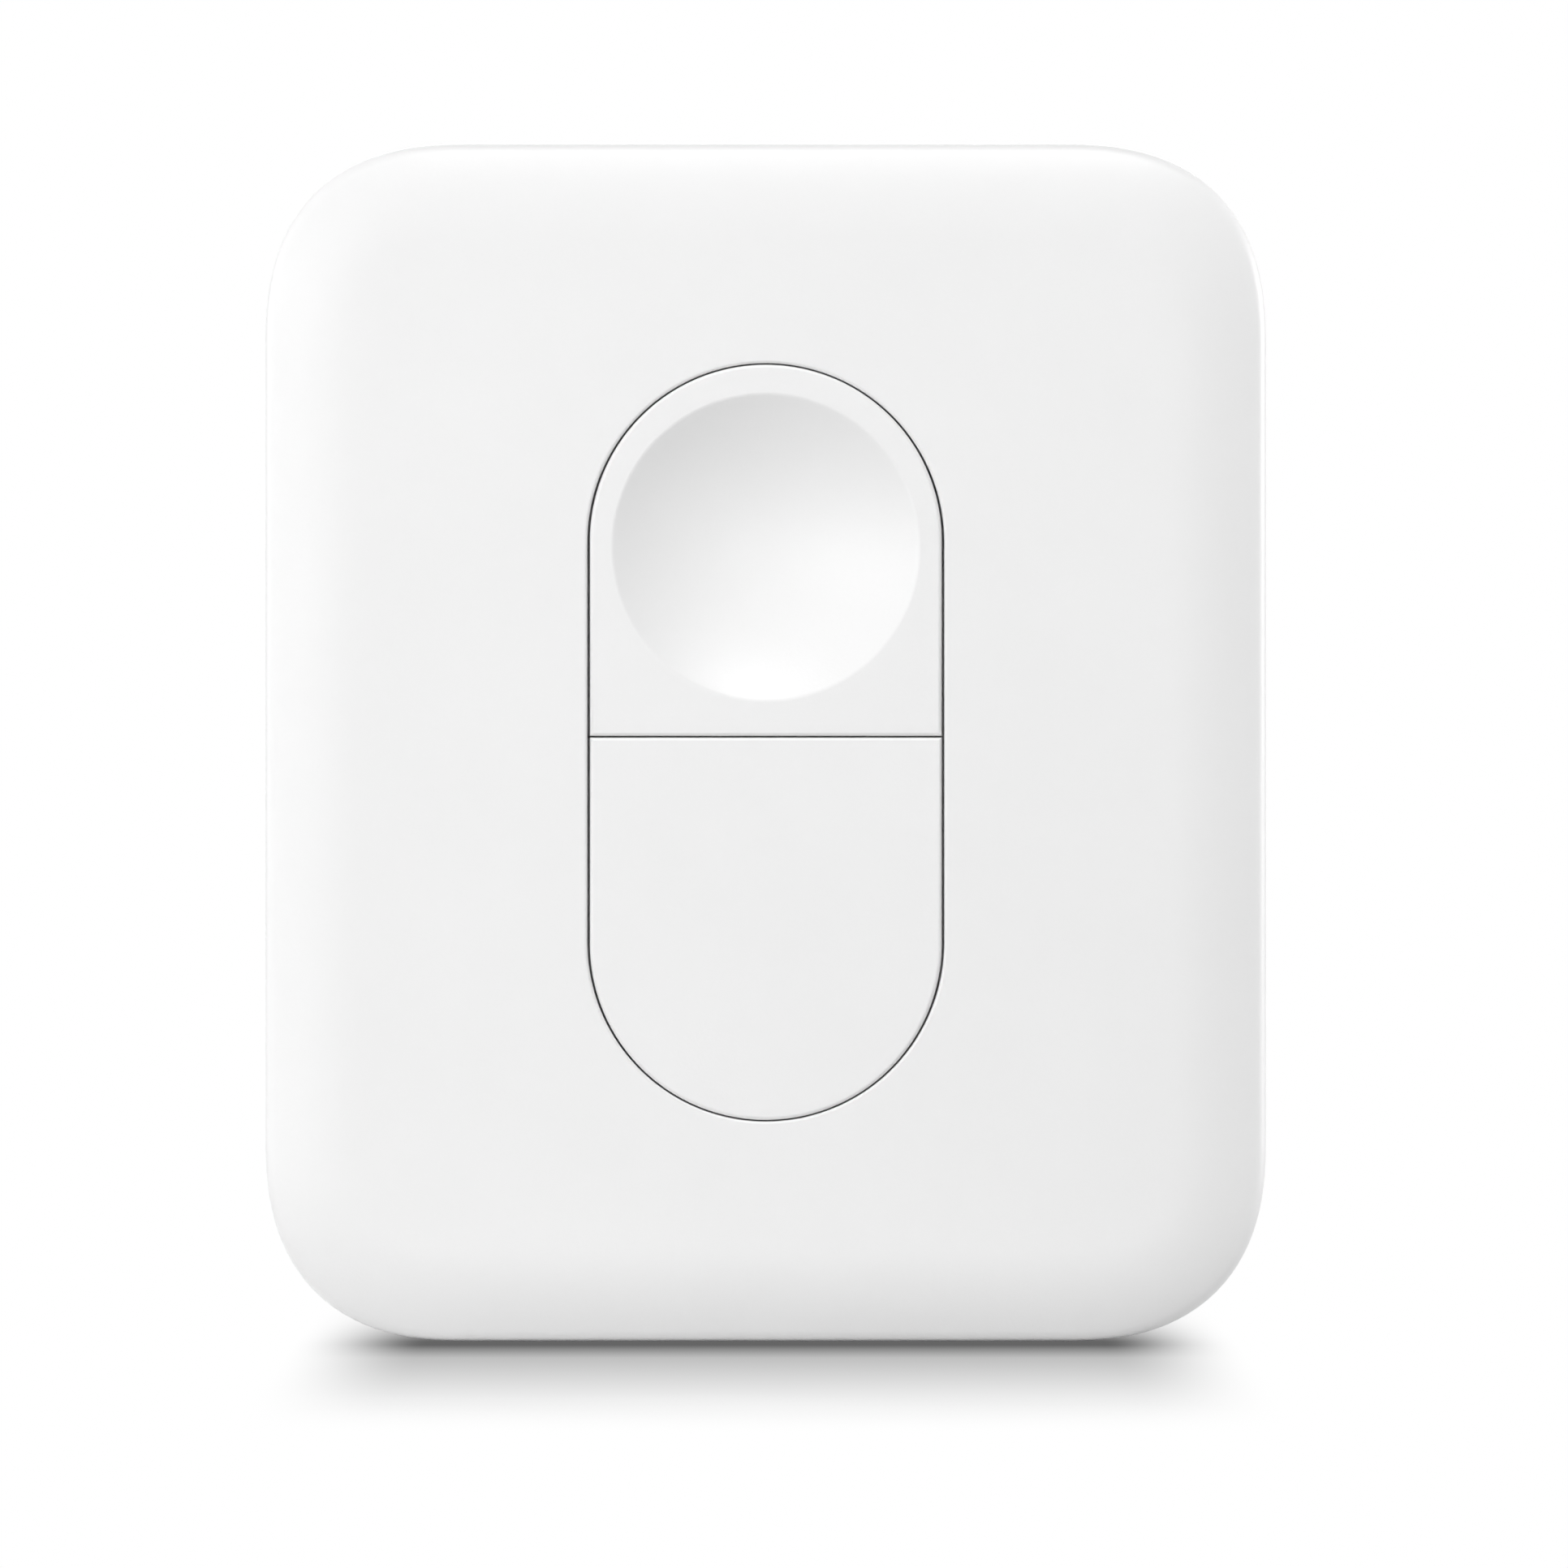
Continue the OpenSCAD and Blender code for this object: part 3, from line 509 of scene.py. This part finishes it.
class FrontCoverOperator(Operator):
    """Model the front cover, with its soft shoulder and its opening for the keys"""
    bl_idname = "smart_button.front_cover"
    bl_label = "Front cover"

    def execute(self, context):
        case, keys, back = context.scene.case_sizes, context.scene.key_sizes, context.scene.back_sizes
        half_width, low_z, high_z = opening(keys)
        inside_y = FACE_Y + case.wall
        section = shoulder_section(case)
        shell = case_block("front_shell", 0, FACE_Y + section[0][1], PARTING_Y, case)
        pick_faces(shell, lambda centre, normal: normal.y < -FACING)
        for (near, deep), (far, shallow) in zip(section, section[1:]):
            bpy.ops.mesh.inset(thickness=far - near, depth=deep - shallow)
        bpy.ops.object.mode_set(mode="OBJECT")
        round_edges(shell, at_level(PARTING_Y), case.parting_edge, segments=2)
        hollow = case_block("hollow", case.wall, inside_y, PARTING_Y + OVER, case)
        round_edges(hollow, at_level(inside_y), case.inner_edge, segments=4)
        cut(shell, hollow)
        for x, z in screw_places(back):
            join(shell, add_bar("boss", x, z, case.boss_width / 2, inside_y - case.wall / 2, PARTING_Y))
        reach = keys.flange + case.lip_gap
        wall_back = UPPER_HIGH.y
        well = pill_block("well", half_width + reach + case.well, low_z - reach - case.well,
                          high_z + reach + case.well, inside_y - case.wall / 2, wall_back)
        cut(well, pill_block("well_hole", half_width + reach, low_z - reach, high_z + reach,
                             inside_y - OVER, wall_back + OVER))
        join(shell, well)
        for x, z in screw_places(back):
            cut(shell, add_bar("pilot", x, z, case.pilot_width / 2,
                               PARTING_Y - case.pilot_depth, PARTING_Y + OVER))
        cut(shell, pill_block("opening", half_width, low_z, high_z, FACE_Y - OVER, inside_y + OVER / 2))
        round_edges(shell, self.opening_rim(half_width, low_z, high_z), case.opening_edge, segments=4)
        finish_piece(shell, plastic(context, "case_plastic"), "housing", "shell", "front_cover")
        return {"FINISHED"}

    @staticmethod
    def opening_rim(half_width, low_z, high_z):
        """A test for the edges on the face round the opening."""
        middle_z = (low_z + high_z) / 2
        straight = (high_z - low_z) / 2 - half_width

        def on_rim(point):
            rise = max(0, abs(point.z - middle_z) - straight)
            return abs(point.y - FACE_Y) < TINY and abs(math.hypot(point.x, rise) - half_width) < 3 * TINY

        return lambda first, second: on_rim(first) and on_rim(second)


class RearCoverOperator(Operator):
    """Model the rear cover, with the door's seat and the recesses for the screws and strips"""
    bl_idname = "smart_button.rear_cover"
    bl_label = "Rear cover"

    def execute(self, context):
        case, back = context.scene.case_sizes, context.scene.back_sizes
        floor_y = BACK_Y - case.wall
        lip_inset = case.wall + case.lip_gap
        shell = case_block("rear_shell", 0, PARTING_Y, BACK_Y, case)
        round_edges(shell, at_level(BACK_Y), case.back_edge, segments=8)
        round_edges(shell, at_level(PARTING_Y), case.parting_edge, segments=2)
        join(shell, case_block("lip", lip_inset, REAR_LOW.y, floor_y + case.wall / 2, case))
        cut(shell, case_block("hollow", lip_inset + case.lip, REAR_LOW.y - OVER, floor_y, case))
        seat = DOOR_RADIUS + back.seat_gap
        seat_y = BACK_Y - back.door_thickness
        ring_y = seat_y - back.hatch_lip
        ring = seat + back.hatch_ring
        join(shell, add_bar("hatch_ring", DOOR_X, DOOR_Z, ring, ring_y, BACK_Y - case.wall / 2, sides=128))
        cut(shell, add_bar("seat", DOOR_X, DOOR_Z, seat, seat_y, BACK_Y + OVER, sides=160))
        hatch = back.spigot_width / 2 + back.seat_gap
        cut(shell, add_bar("hatch", DOOR_X, DOOR_Z, hatch, ring_y - OVER, BACK_Y, sides=128))
        notch_width = back.lug_width + 2 * back.seat_gap
        for turn in LUG_TURNS:
            cut(shell, add_lug("notch", DOOR_X, DOOR_Z, hatch + back.lug_reach, notch_width,
                               turn - back.lug_turn, ring_y - OVER, seat_y + back.seat_gap))
        mark = seat + back.mark_inset
        for turn in (0, -back.lug_turn):
            cut(shell, add_bar("mark", DOOR_X + mark * math.cos(turn), DOOR_Z + mark * math.sin(turn),
                               back.mark_width / 2, BACK_Y - back.mark_depth, BACK_Y + OVER, sides=32))
        pillar = case.boss_width / 2 + case.lip_gap
        for x, z in screw_places(back):
            join(shell, add_bar("pillar", x, z, pillar, PARTING_Y, floor_y + case.wall / 2))
        head_hole = back.head_width / 2 + back.head_gap
        shank_hole = back.shank_width / 2 + back.head_gap
        for x, z in screw_places(back):
            cut(shell, add_bar("head_hole", x, z, head_hole, SCREW_HIGH.y - back.head_height, BACK_Y + OVER))
            cut(shell, add_bar("shank_hole", x, z, shank_hole, REAR_LOW.y - OVER, BACK_Y))
        for node in ("upper_adhesive_strip", "lower_adhesive_strip"):
            low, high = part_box(node)
            margin = Vector((back.strip_gap, 0, back.strip_gap))
            recess = add_block("recess", low - margin, Vector((high.x, BACK_Y + OVER, high.z)) + margin)
            round_edges(recess, along_y, back.strip_corner + back.strip_gap, segments=6)
            cut(shell, recess)
        finish_piece(shell, plastic(context, "case_plastic"), "housing", "shell", "rear_cover")
        return {"FINISHED"}


class KeysOperator(Operator):
    """Model the two keys, the upper one with a dish for the finger"""
    bl_idname = "smart_button.keys"
    bl_label = "Keys"

    def execute(self, context):
        keys = context.scene.key_sizes
        upper = self.key("upper_push", UPPER_LOW, UPPER_HIGH, 1, keys)
        lower = self.key("lower_push", LOWER_LOW, LOWER_HIGH, -1, keys)
        finish = plastic(context, "key_plastic")
        finish_piece(upper, finish, "upper_button", "keys", "upper_key")
        finish_piece(lower, finish, "lower_button", "keys", "lower_key")
        return {"FINISHED"}

    def key(self, name, low, high, way, keys):
        """Half a pill that points up or down, with a flange, and with a dish if it is the upper one."""
        def half_pill(label, half_width, split_z, end_z, low_y, high_y):
            low_z, high_z = sorted((split_z, end_z))
            block = add_block(label, (-half_width, low_y, low_z), (half_width, high_y, high_z))

            def at_end(first, second):
                return along_y(first, second) and abs(first.z - end_z) < TINY

            round_edges(block, at_end, half_width - TINY, segments=40)
            return block

        split_z = SPLIT_Z + way * keys.split_gap / 2
        end_z = high.z if way > 0 else low.z
        piece = half_pill(name, high.x - keys.flange - keys.gap, split_z,
                          end_z - way * (keys.flange + keys.end_gap), low.y, high.y)
        if way > 0:
            self.press_dish(piece, keys)
        round_edges(piece, self.face_rim(low.y, keys), keys.edge, segments=5)
        join(piece, half_pill("flange", high.x, split_z, end_z, high.y - keys.flange_thickness, high.y))
        return piece

    @staticmethod
    def dish_middle(keys):
        """Height of the dish's middle."""
        return (SPLIT_Z + UPPER_HIGH.z - keys.flange) / 2 + keys.dish_rise

    def face_rim(self, y, keys):
        """A test for the edges round a key's face, leaving out those at the dish."""
        middle_z = self.dish_middle(keys)

        def on_rim(point):
            outside = math.hypot(point.x, point.z - middle_z) > keys.dish_width / 2 + TINY
            return outside and abs(point.y - y) < TINY

        return lambda first, second: on_rim(first) and on_rim(second)

    def press_dish(self, piece, keys):
        """Presses a round dish into the key's face, ring by ring."""
        middle_z = self.dish_middle(keys)
        rim = keys.dish_width / 2
        ball = (rim ** 2 + keys.dish_depth ** 2) / (2 * keys.dish_depth)
        rim_slope = rim / ball
        first_cut = 0.004 * MM
        edge_rings, floor_rings = 4, 22

        def sink(radius):
            """Depth of the dish at a radius, with its rim eased over the dish's edge."""
            depth = math.sqrt(ball ** 2 - radius ** 2) - (ball - keys.dish_depth)
            eased = max(0, radius - (rim - keys.dish_edge))
            return depth - rim_slope * keys.dish_edge / 2 + rim_slope * eased ** 2 / (2 * keys.dish_edge)

        cut(piece, add_bar("dish", 0, middle_z, rim, FACE_Y - OVER, FACE_Y + first_cut, sides=160))

        def dish_floor(centre, normal):
            sunk = centre.y > FACE_Y + first_cut / 2
            return sunk and normal.y < -FACING and math.hypot(centre.x, centre.z - middle_z) < rim / 2

        pick_faces(piece, dish_floor)
        radii = [rim - keys.dish_edge * i / edge_rings for i in range(edge_rings + 1)]
        widest = radii[-1]
        radii += [widest * (1 - i / floor_rings) for i in range(1, floor_rings)]
        for outer, inner in zip(radii, radii[1:]):
            bpy.ops.mesh.inset(thickness=outer - inner, depth=-(sink(inner) - sink(outer)))
        bpy.ops.mesh.merge(type="CENTER")
        bpy.ops.object.mode_set(mode="OBJECT")


class BatteryDoorOperator(Operator):
    """Model the battery door, with its coin slot"""
    bl_idname = "smart_button.battery_door"
    bl_label = "Battery door"

    def execute(self, context):
        back = context.scene.back_sizes
        inner_y = BACK_Y - back.door_thickness
        door = add_bar("coin_door", DOOR_X, DOOR_Z, DOOR_RADIUS, inner_y, BACK_Y, sides=160)
        round_edges(door, at_level(BACK_Y), back.door_edge, segments=5)
        spigot = back.spigot_width / 2
        ring = add_bar("spigot", DOOR_X, DOOR_Z, spigot, DOOR_LOW.y, inner_y + back.door_edge, sides=128)
        for turn in LUG_TURNS:
            join(ring, add_lug("lug", DOOR_X, DOOR_Z, spigot + back.lug_reach, back.lug_width, turn,
                               DOOR_LOW.y, DOOR_LOW.y + back.lug_thickness))
        cut(ring, add_bar("spigot_hole", DOOR_X, DOOR_Z, spigot - back.spigot_wall,
                          DOOR_LOW.y - OVER, inner_y, sides=128))
        join(door, ring)
        cut(door, add_bar("mark", DOOR_HIGH.x - back.mark_inset, DOOR_Z, back.mark_width / 2,
                          BACK_Y - back.mark_depth, BACK_Y + OVER, sides=32))
        half = Vector((back.slot_length / 2, 0, back.slot_width / 2))
        slot_y = BACK_Y - back.slot_depth
        slot = add_block("slot", Vector((DOOR_X, slot_y, DOOR_Z)) - half,
                         Vector((DOOR_X, BACK_Y + OVER, DOOR_Z)) + half)
        round_edges(slot, along_y, back.slot_width / 2 - TINY, segments=12)
        round_edges(slot, at_level(slot_y), back.slot_depth / 3, segments=4)
        cut(door, slot)
        finish_piece(door, plastic(context, "door_plastic"), "door", "door", "battery_door")
        return {"FINISHED"}


class ScrewsOperator(Operator):
    """Model the case screws"""
    bl_idname = "smart_button.case_screws"
    bl_label = "Case screws"

    def execute(self, context):
        back = context.scene.back_sizes
        material = metal("screw_steel", context.scene.finishes.steel, roughness=0.3)
        for number, (x, z) in enumerate(screw_places(back), 1):
            neck_y = SCREW_HIGH.y - back.head_height
            screw = add_bar(f"screw_{number}", x, z, back.head_width / 2, neck_y, SCREW_HIGH.y, sides=48)
            round_edges(screw, at_level(SCREW_HIGH.y), back.head_height / 3, segments=5)
            join(screw, add_bar("shank", x, z, back.shank_width / 2, SCREW_LOW.y,
                                neck_y + back.cross_width / 4, sides=32))
            reach, half = back.cross_length / 2, back.cross_width / 2
            for across, up in ((reach, half), (half, reach)):
                cut(screw, add_block("cross", (x - across, SCREW_HIGH.y - back.cross_depth, z - up),
                                     (x + across, SCREW_HIGH.y + OVER, z + up)))
            finish_piece(screw, material, "housing", "screw_steel", "case_screws")
        return {"FINISHED"}


class StripsOperator(Operator):
    """Model the two adhesive foam strips"""
    bl_idname = "smart_button.adhesive_strips"
    bl_label = "Adhesive strips"

    def execute(self, context):
        back = context.scene.back_sizes
        material = dull("foam", context.scene.finishes.foam, roughness=0.85,
                        grain=0.15 * MM, depth=0.02 * MM)
        for side in ("upper", "lower"):
            low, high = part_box(f"{side}_adhesive_strip")
            strip = add_block(f"{side}_foam_strip", low, high)
            round_edges(strip, along_y, back.strip_corner, segments=6)
            round_edges(strip, at_level(high.y), back.strip_gap, segments=3)
            finish_piece(strip, material, "housing", "foam", f"{side}_adhesive_strip")
        return {"FINISHED"}


class InsideOperator(Operator):
    """Give the pieces inside the case their finishes"""
    bl_idname = "smart_button.inside"
    bl_label = "Inside"

    def execute(self, context):
        # After its colour each finish has its roughness, then the size and the depth of its grain
        made = {
            "silicone": dull("silicone", (0.78, 0.78, 0.76), 0.6, 0.2 * MM, 0.002 * MM),
            "switch_plastic": dull("switch_plastic", (0.02, 0.02, 0.022), 0.5, 0.1 * MM, 0.002 * MM),
            "spring_steel": metal("spring_steel", (0.66, 0.67, 0.69), 0.28),
            "board": dull("board_lacquer", context.scene.finishes.board, 0.35, 0.3 * MM, 0.002 * MM),
            "chip": dull("chip_compound", (0.015, 0.015, 0.017), 0.6, 0.06 * MM, 0.002 * MM),
            "ceramic": dull("ceramic", (0.5, 0.38, 0.25), 0.5, 0.08 * MM, 0.001 * MM),
            "led": dull("led_resin", (0.8, 0.74, 0.4), 0.2, 0.3 * MM, 0.001 * MM),
            "holder": dull("holder_plastic", (0.2, 0.2, 0.21), 0.5, 0.12 * MM, 0.003 * MM),
            "contacts": metal("contact_gilt", (0.78, 0.6, 0.28), 0.25),
            "cell_steel": metal("cell_steel", (0.7, 0.7, 0.71), 0.3, 0.4 * MM, (1, 1, 0.1)),
            "cell_seal": dull("cell_seal", (0.05, 0.05, 0.05), 0.6, 0.2 * MM, 0.002 * MM),
            "cell_filling": dull("cell_filling", (0.04, 0.04, 0.04), 0.8, 0.2 * MM, 0.01 * MM),
        }
        for part in frame["record"]["subparts"]:
            piece = frame["nodes"][part["node"]]
            if not piece.hide_render:
                piece.data.materials.clear()
                piece.data.materials.append(made[part["material_slot"]])
        return {"FINISHED"}


class StageOperator(Operator):
    """Set up the floor, the backdrop, the lamps and the camera"""
    bl_idname = "smart_button.stage"
    bl_label = "Stage"

    def execute(self, context):
        stage = context.scene.stage_settings
        self.add_floor(stage)
        self.add_surround(context.scene)
        self.add_camera(context.scene, stage)
        for lamp in LAMPS:
            self.add_lamp(context.scene, *lamp)
        context.scene.view_settings.view_transform = "Standard"
        return {"FINISHED"}

    @staticmethod
    def seen_directly(nodes, links):
        """One for what is seen, directly, in a reflection or through glass, and nought for other rays."""
        path = nodes.new("ShaderNodeLightPath")
        seen = path.outputs["Is Camera Ray"]
        for name in ("Is Glossy Ray", "Is Transmission Ray"):
            larger = nodes.new("ShaderNodeMath")
            larger.operation = "MAXIMUM"
            links.new(seen, larger.inputs[0])
            links.new(path.outputs[name], larger.inputs[1])
            seen = larger.outputs[0]
        return seen

    def add_floor(self, stage):
        """A white floor that shows a painted contact shadow in front of the case and throws some light back
        on the case.
        """
        clear_selection()
        bpy.ops.mesh.primitive_circle_add(vertices=96, radius=FLOOR_RADIUS, fill_type="NGON")
        floor = settle("floor")
        material = bpy.data.materials.new("floor_white")
        material.use_nodes = True
        nodes, links = material.node_tree.nodes, material.node_tree.links
        nodes.clear()
        output = nodes.new("ShaderNodeOutputMaterial")
        bounce = nodes.new("ShaderNodeBsdfDiffuse")
        place = nodes.new("ShaderNodeTexCoord")
        axes = nodes.new("ShaderNodeSeparateXYZ")
        links.new(place.outputs["Object"], axes.inputs[0])
        links.new(self.bounce_share(nodes, links, axes.outputs["X"], stage), bounce.inputs["Color"])
        # Painted shadow: seen rays get an emission whose shade comes from the distance to the face, not from
        # the lamps
        shaded = nodes.new("ShaderNodeEmission")
        links.new(self.shade(nodes, links, axes.outputs["Y"]), shaded.inputs["Color"])
        clear = nodes.new("ShaderNodeEmission")
        shown = nodes.new("ShaderNodeMixShader")
        links.new(self.shadow_share(nodes, links, axes.outputs["X"], stage), shown.inputs["Fac"])
        links.new(clear.outputs[0], shown.inputs[1])
        links.new(shaded.outputs[0], shown.inputs[2])
        mixed = nodes.new("ShaderNodeMixShader")
        links.new(self.seen_directly(nodes, links), mixed.inputs["Fac"])
        links.new(bounce.outputs[0], mixed.inputs[1])
        links.new(shown.outputs[0], mixed.inputs[2])
        links.new(mixed.outputs[0], output.inputs["Surface"])
        floor.data.materials.append(material)

    @staticmethod
    def bounce_share(nodes, links, across, stage):
        """How much light the floor throws back, from the left of the case to its right."""
        thrown = nodes.new("ShaderNodeMapRange")
        thrown.inputs["From Min"].default_value = FRONT_LOW.x
        thrown.inputs["From Max"].default_value = FRONT_HIGH.x
        thrown.inputs["To Min"].default_value = stage.left_bounce
        thrown.inputs["To Max"].default_value = stage.right_bounce
        links.new(across, thrown.inputs["Value"])
        return thrown.outputs["Result"]

    @staticmethod
    def shade(nodes, links, depth):
        """How bright the full painted shadow is, by the distance from the case's face."""
        first, last = FLOOR_SHADE[0][0], FLOOR_SHADE[-1][0]
        way = nodes.new("ShaderNodeMapRange")
        way.inputs["From Min"].default_value = FACE_Y - first
        way.inputs["From Max"].default_value = FACE_Y - last
        links.new(depth, way.inputs["Value"])
        ramp = nodes.new("ShaderNodeValToRGB")
        for _ in FLOOR_SHADE[2:]:
            ramp.color_ramp.elements.new(1)
        for element, (distance, level) in zip(ramp.color_ramp.elements, FLOOR_SHADE):
            element.position = (first - distance) / (first - last)
            element.color = (level, level, level, 1)
        links.new(way.outputs["Result"], ramp.inputs["Fac"])
        return ramp.outputs["Color"]

    @staticmethod
    def shadow_share(nodes, links, across, stage):
        """How much of the painted shadow there is: all of it where the case hides the floor, fading out to
        either side.
        """
        openness = nodes.new("ShaderNodeAmbientOcclusion")
        openness.inputs["Distance"].default_value = stage.shadow_reach
        near = nodes.new("ShaderNodeMapRange")
        near.inputs["From Min"].default_value = 1
        near.inputs["From Max"].default_value = stage.shadow_start
        links.new(openness.outputs["AO"], near.inputs["Value"])
        sideways = nodes.new("ShaderNodeMath")
        sideways.operation = "ABSOLUTE"
        links.new(across, sideways.inputs[0])
        fade = nodes.new("ShaderNodeMapRange")
        fade.interpolation_type = "SMOOTHSTEP"
        fade.inputs["From Min"].default_value = stage.shadow_end
        fade.inputs["From Max"].default_value = stage.shadow_full
        links.new(sideways.outputs[0], fade.inputs["Value"])
        both = nodes.new("ShaderNodeMath")
        both.operation = "MULTIPLY"
        links.new(near.outputs["Result"], both.inputs[0])
        links.new(fade.outputs["Result"], both.inputs[1])
        return both.outputs[0]

    def add_surround(self, scene):
        """A white surround that is seen, also in reflections, and lights nothing."""
        world = scene.world or bpy.data.worlds.new("surround")
        scene.world = world
        world.use_nodes = True
        nodes, links = world.node_tree.nodes, world.node_tree.links
        nodes.clear()
        output = nodes.new("ShaderNodeOutputWorld")
        shown = nodes.new("ShaderNodeBackground")
        shown.inputs["Color"].default_value = (1, 1, 1, 1)
        links.new(self.seen_directly(nodes, links), shown.inputs["Strength"])
        links.new(shown.outputs[0], output.inputs["Surface"])

    @staticmethod
    def add_camera(scene, stage):
        """A level camera, square to the face at half its height."""
        data = bpy.data.cameras.new("camera")
        data.sensor_fit = "HORIZONTAL"
        widest = stage.distance + shoulder_section(scene.case_sizes)[0][1]
        data.lens = data.sensor_width * widest / stage.view_width
        data.shift_x, data.shift_y = stage.shift_right, stage.shift_up
        data.clip_start, data.clip_end = CLIP_NEAR, CLIP_FAR
        camera = bpy.data.objects.new("camera", data)
        camera.location = (0, FACE_Y - stage.distance, MIDDLE_Z)
        camera.rotation_euler = (math.pi / 2, 0, 0)
        scene.collection.objects.link(camera)
        scene.camera = camera

    @staticmethod
    def add_lamp(scene, name, azimuth, elevation, power):
        """A square lamp that looks at the middle of the case."""
        data = bpy.data.lights.new(name, "AREA")
        data.size = LAMP_SIZE
        data.energy = power
        lamp = bpy.data.objects.new(name, data)
        turn, rise = math.radians(azimuth), math.radians(elevation)
        level = math.cos(rise)
        outwards = Vector((math.sin(turn) * level, -math.cos(turn) * level, math.sin(rise)))
        lamp.location = Vector((0, FACE_Y, MIDDLE_Z)) + outwards * LAMP_DISTANCE
        lamp.rotation_euler = outwards.to_track_quat("Z", "Y").to_euler()
        lamp.visible_camera = False
        scene.collection.objects.link(lamp)


class SmartButtonPanel(Panel):
    """Lists the sizes, the finishes and the steps that make the smart button"""
    bl_idname = "VIEW3D_PT_smart_button"
    bl_label = "Smart button"
    bl_space_type = "VIEW_3D"
    bl_region_type = "UI"
    bl_category = "Smart Button"

    def draw(self, context):
        for holder in SETTINGS:
            box = self.layout.box()
            box.label(text=SETTINGS[holder].__doc__)
            for name in SETTINGS[holder].__annotations__:
                box.prop(getattr(context.scene, holder), name)
        for operator in OPERATORS:
            self.layout.operator(operator.bl_idname)


SETTINGS = {
    "case_sizes": CaseSizes,
    "key_sizes": KeySizes,
    "back_sizes": BackSizes,
    "finishes": Finishes,
    "stage_settings": StageSettings,
}
OPERATORS = (
    FrontCoverOperator, RearCoverOperator, KeysOperator, BatteryDoorOperator,
    ScrewsOperator, StripsOperator, InsideOperator, StageOperator,
)


def register():
    """Makes the settings, the operators and the panel known."""
    for settings in SETTINGS.values():
        bpy.utils.register_class(settings)
    for operator in OPERATORS:
        bpy.utils.register_class(operator)
    bpy.utils.register_class(SmartButtonPanel)
    for holder, settings in SETTINGS.items():
        setattr(bpy.types.Scene, holder, PointerProperty(type=settings))


def unregister():
    """Takes the panel, the operators and the settings away again."""
    for holder in SETTINGS:
        delattr(bpy.types.Scene, holder)
    bpy.utils.unregister_class(SmartButtonPanel)
    for operator in reversed(OPERATORS):
        bpy.utils.unregister_class(operator)
    for settings in reversed(SETTINGS.values()):
        bpy.utils.unregister_class(settings)


def main():
    """Makes every piece in order, gives the inside its finishes and sets up the stage."""
    register()
    bpy.ops.smart_button.front_cover()
    bpy.ops.smart_button.rear_cover()
    bpy.ops.smart_button.keys()
    bpy.ops.smart_button.battery_door()
    bpy.ops.smart_button.case_screws()
    bpy.ops.smart_button.adhesive_strips()
    bpy.ops.smart_button.inside()
    bpy.ops.smart_button.stage()


if __name__ == "__main__":
    main()
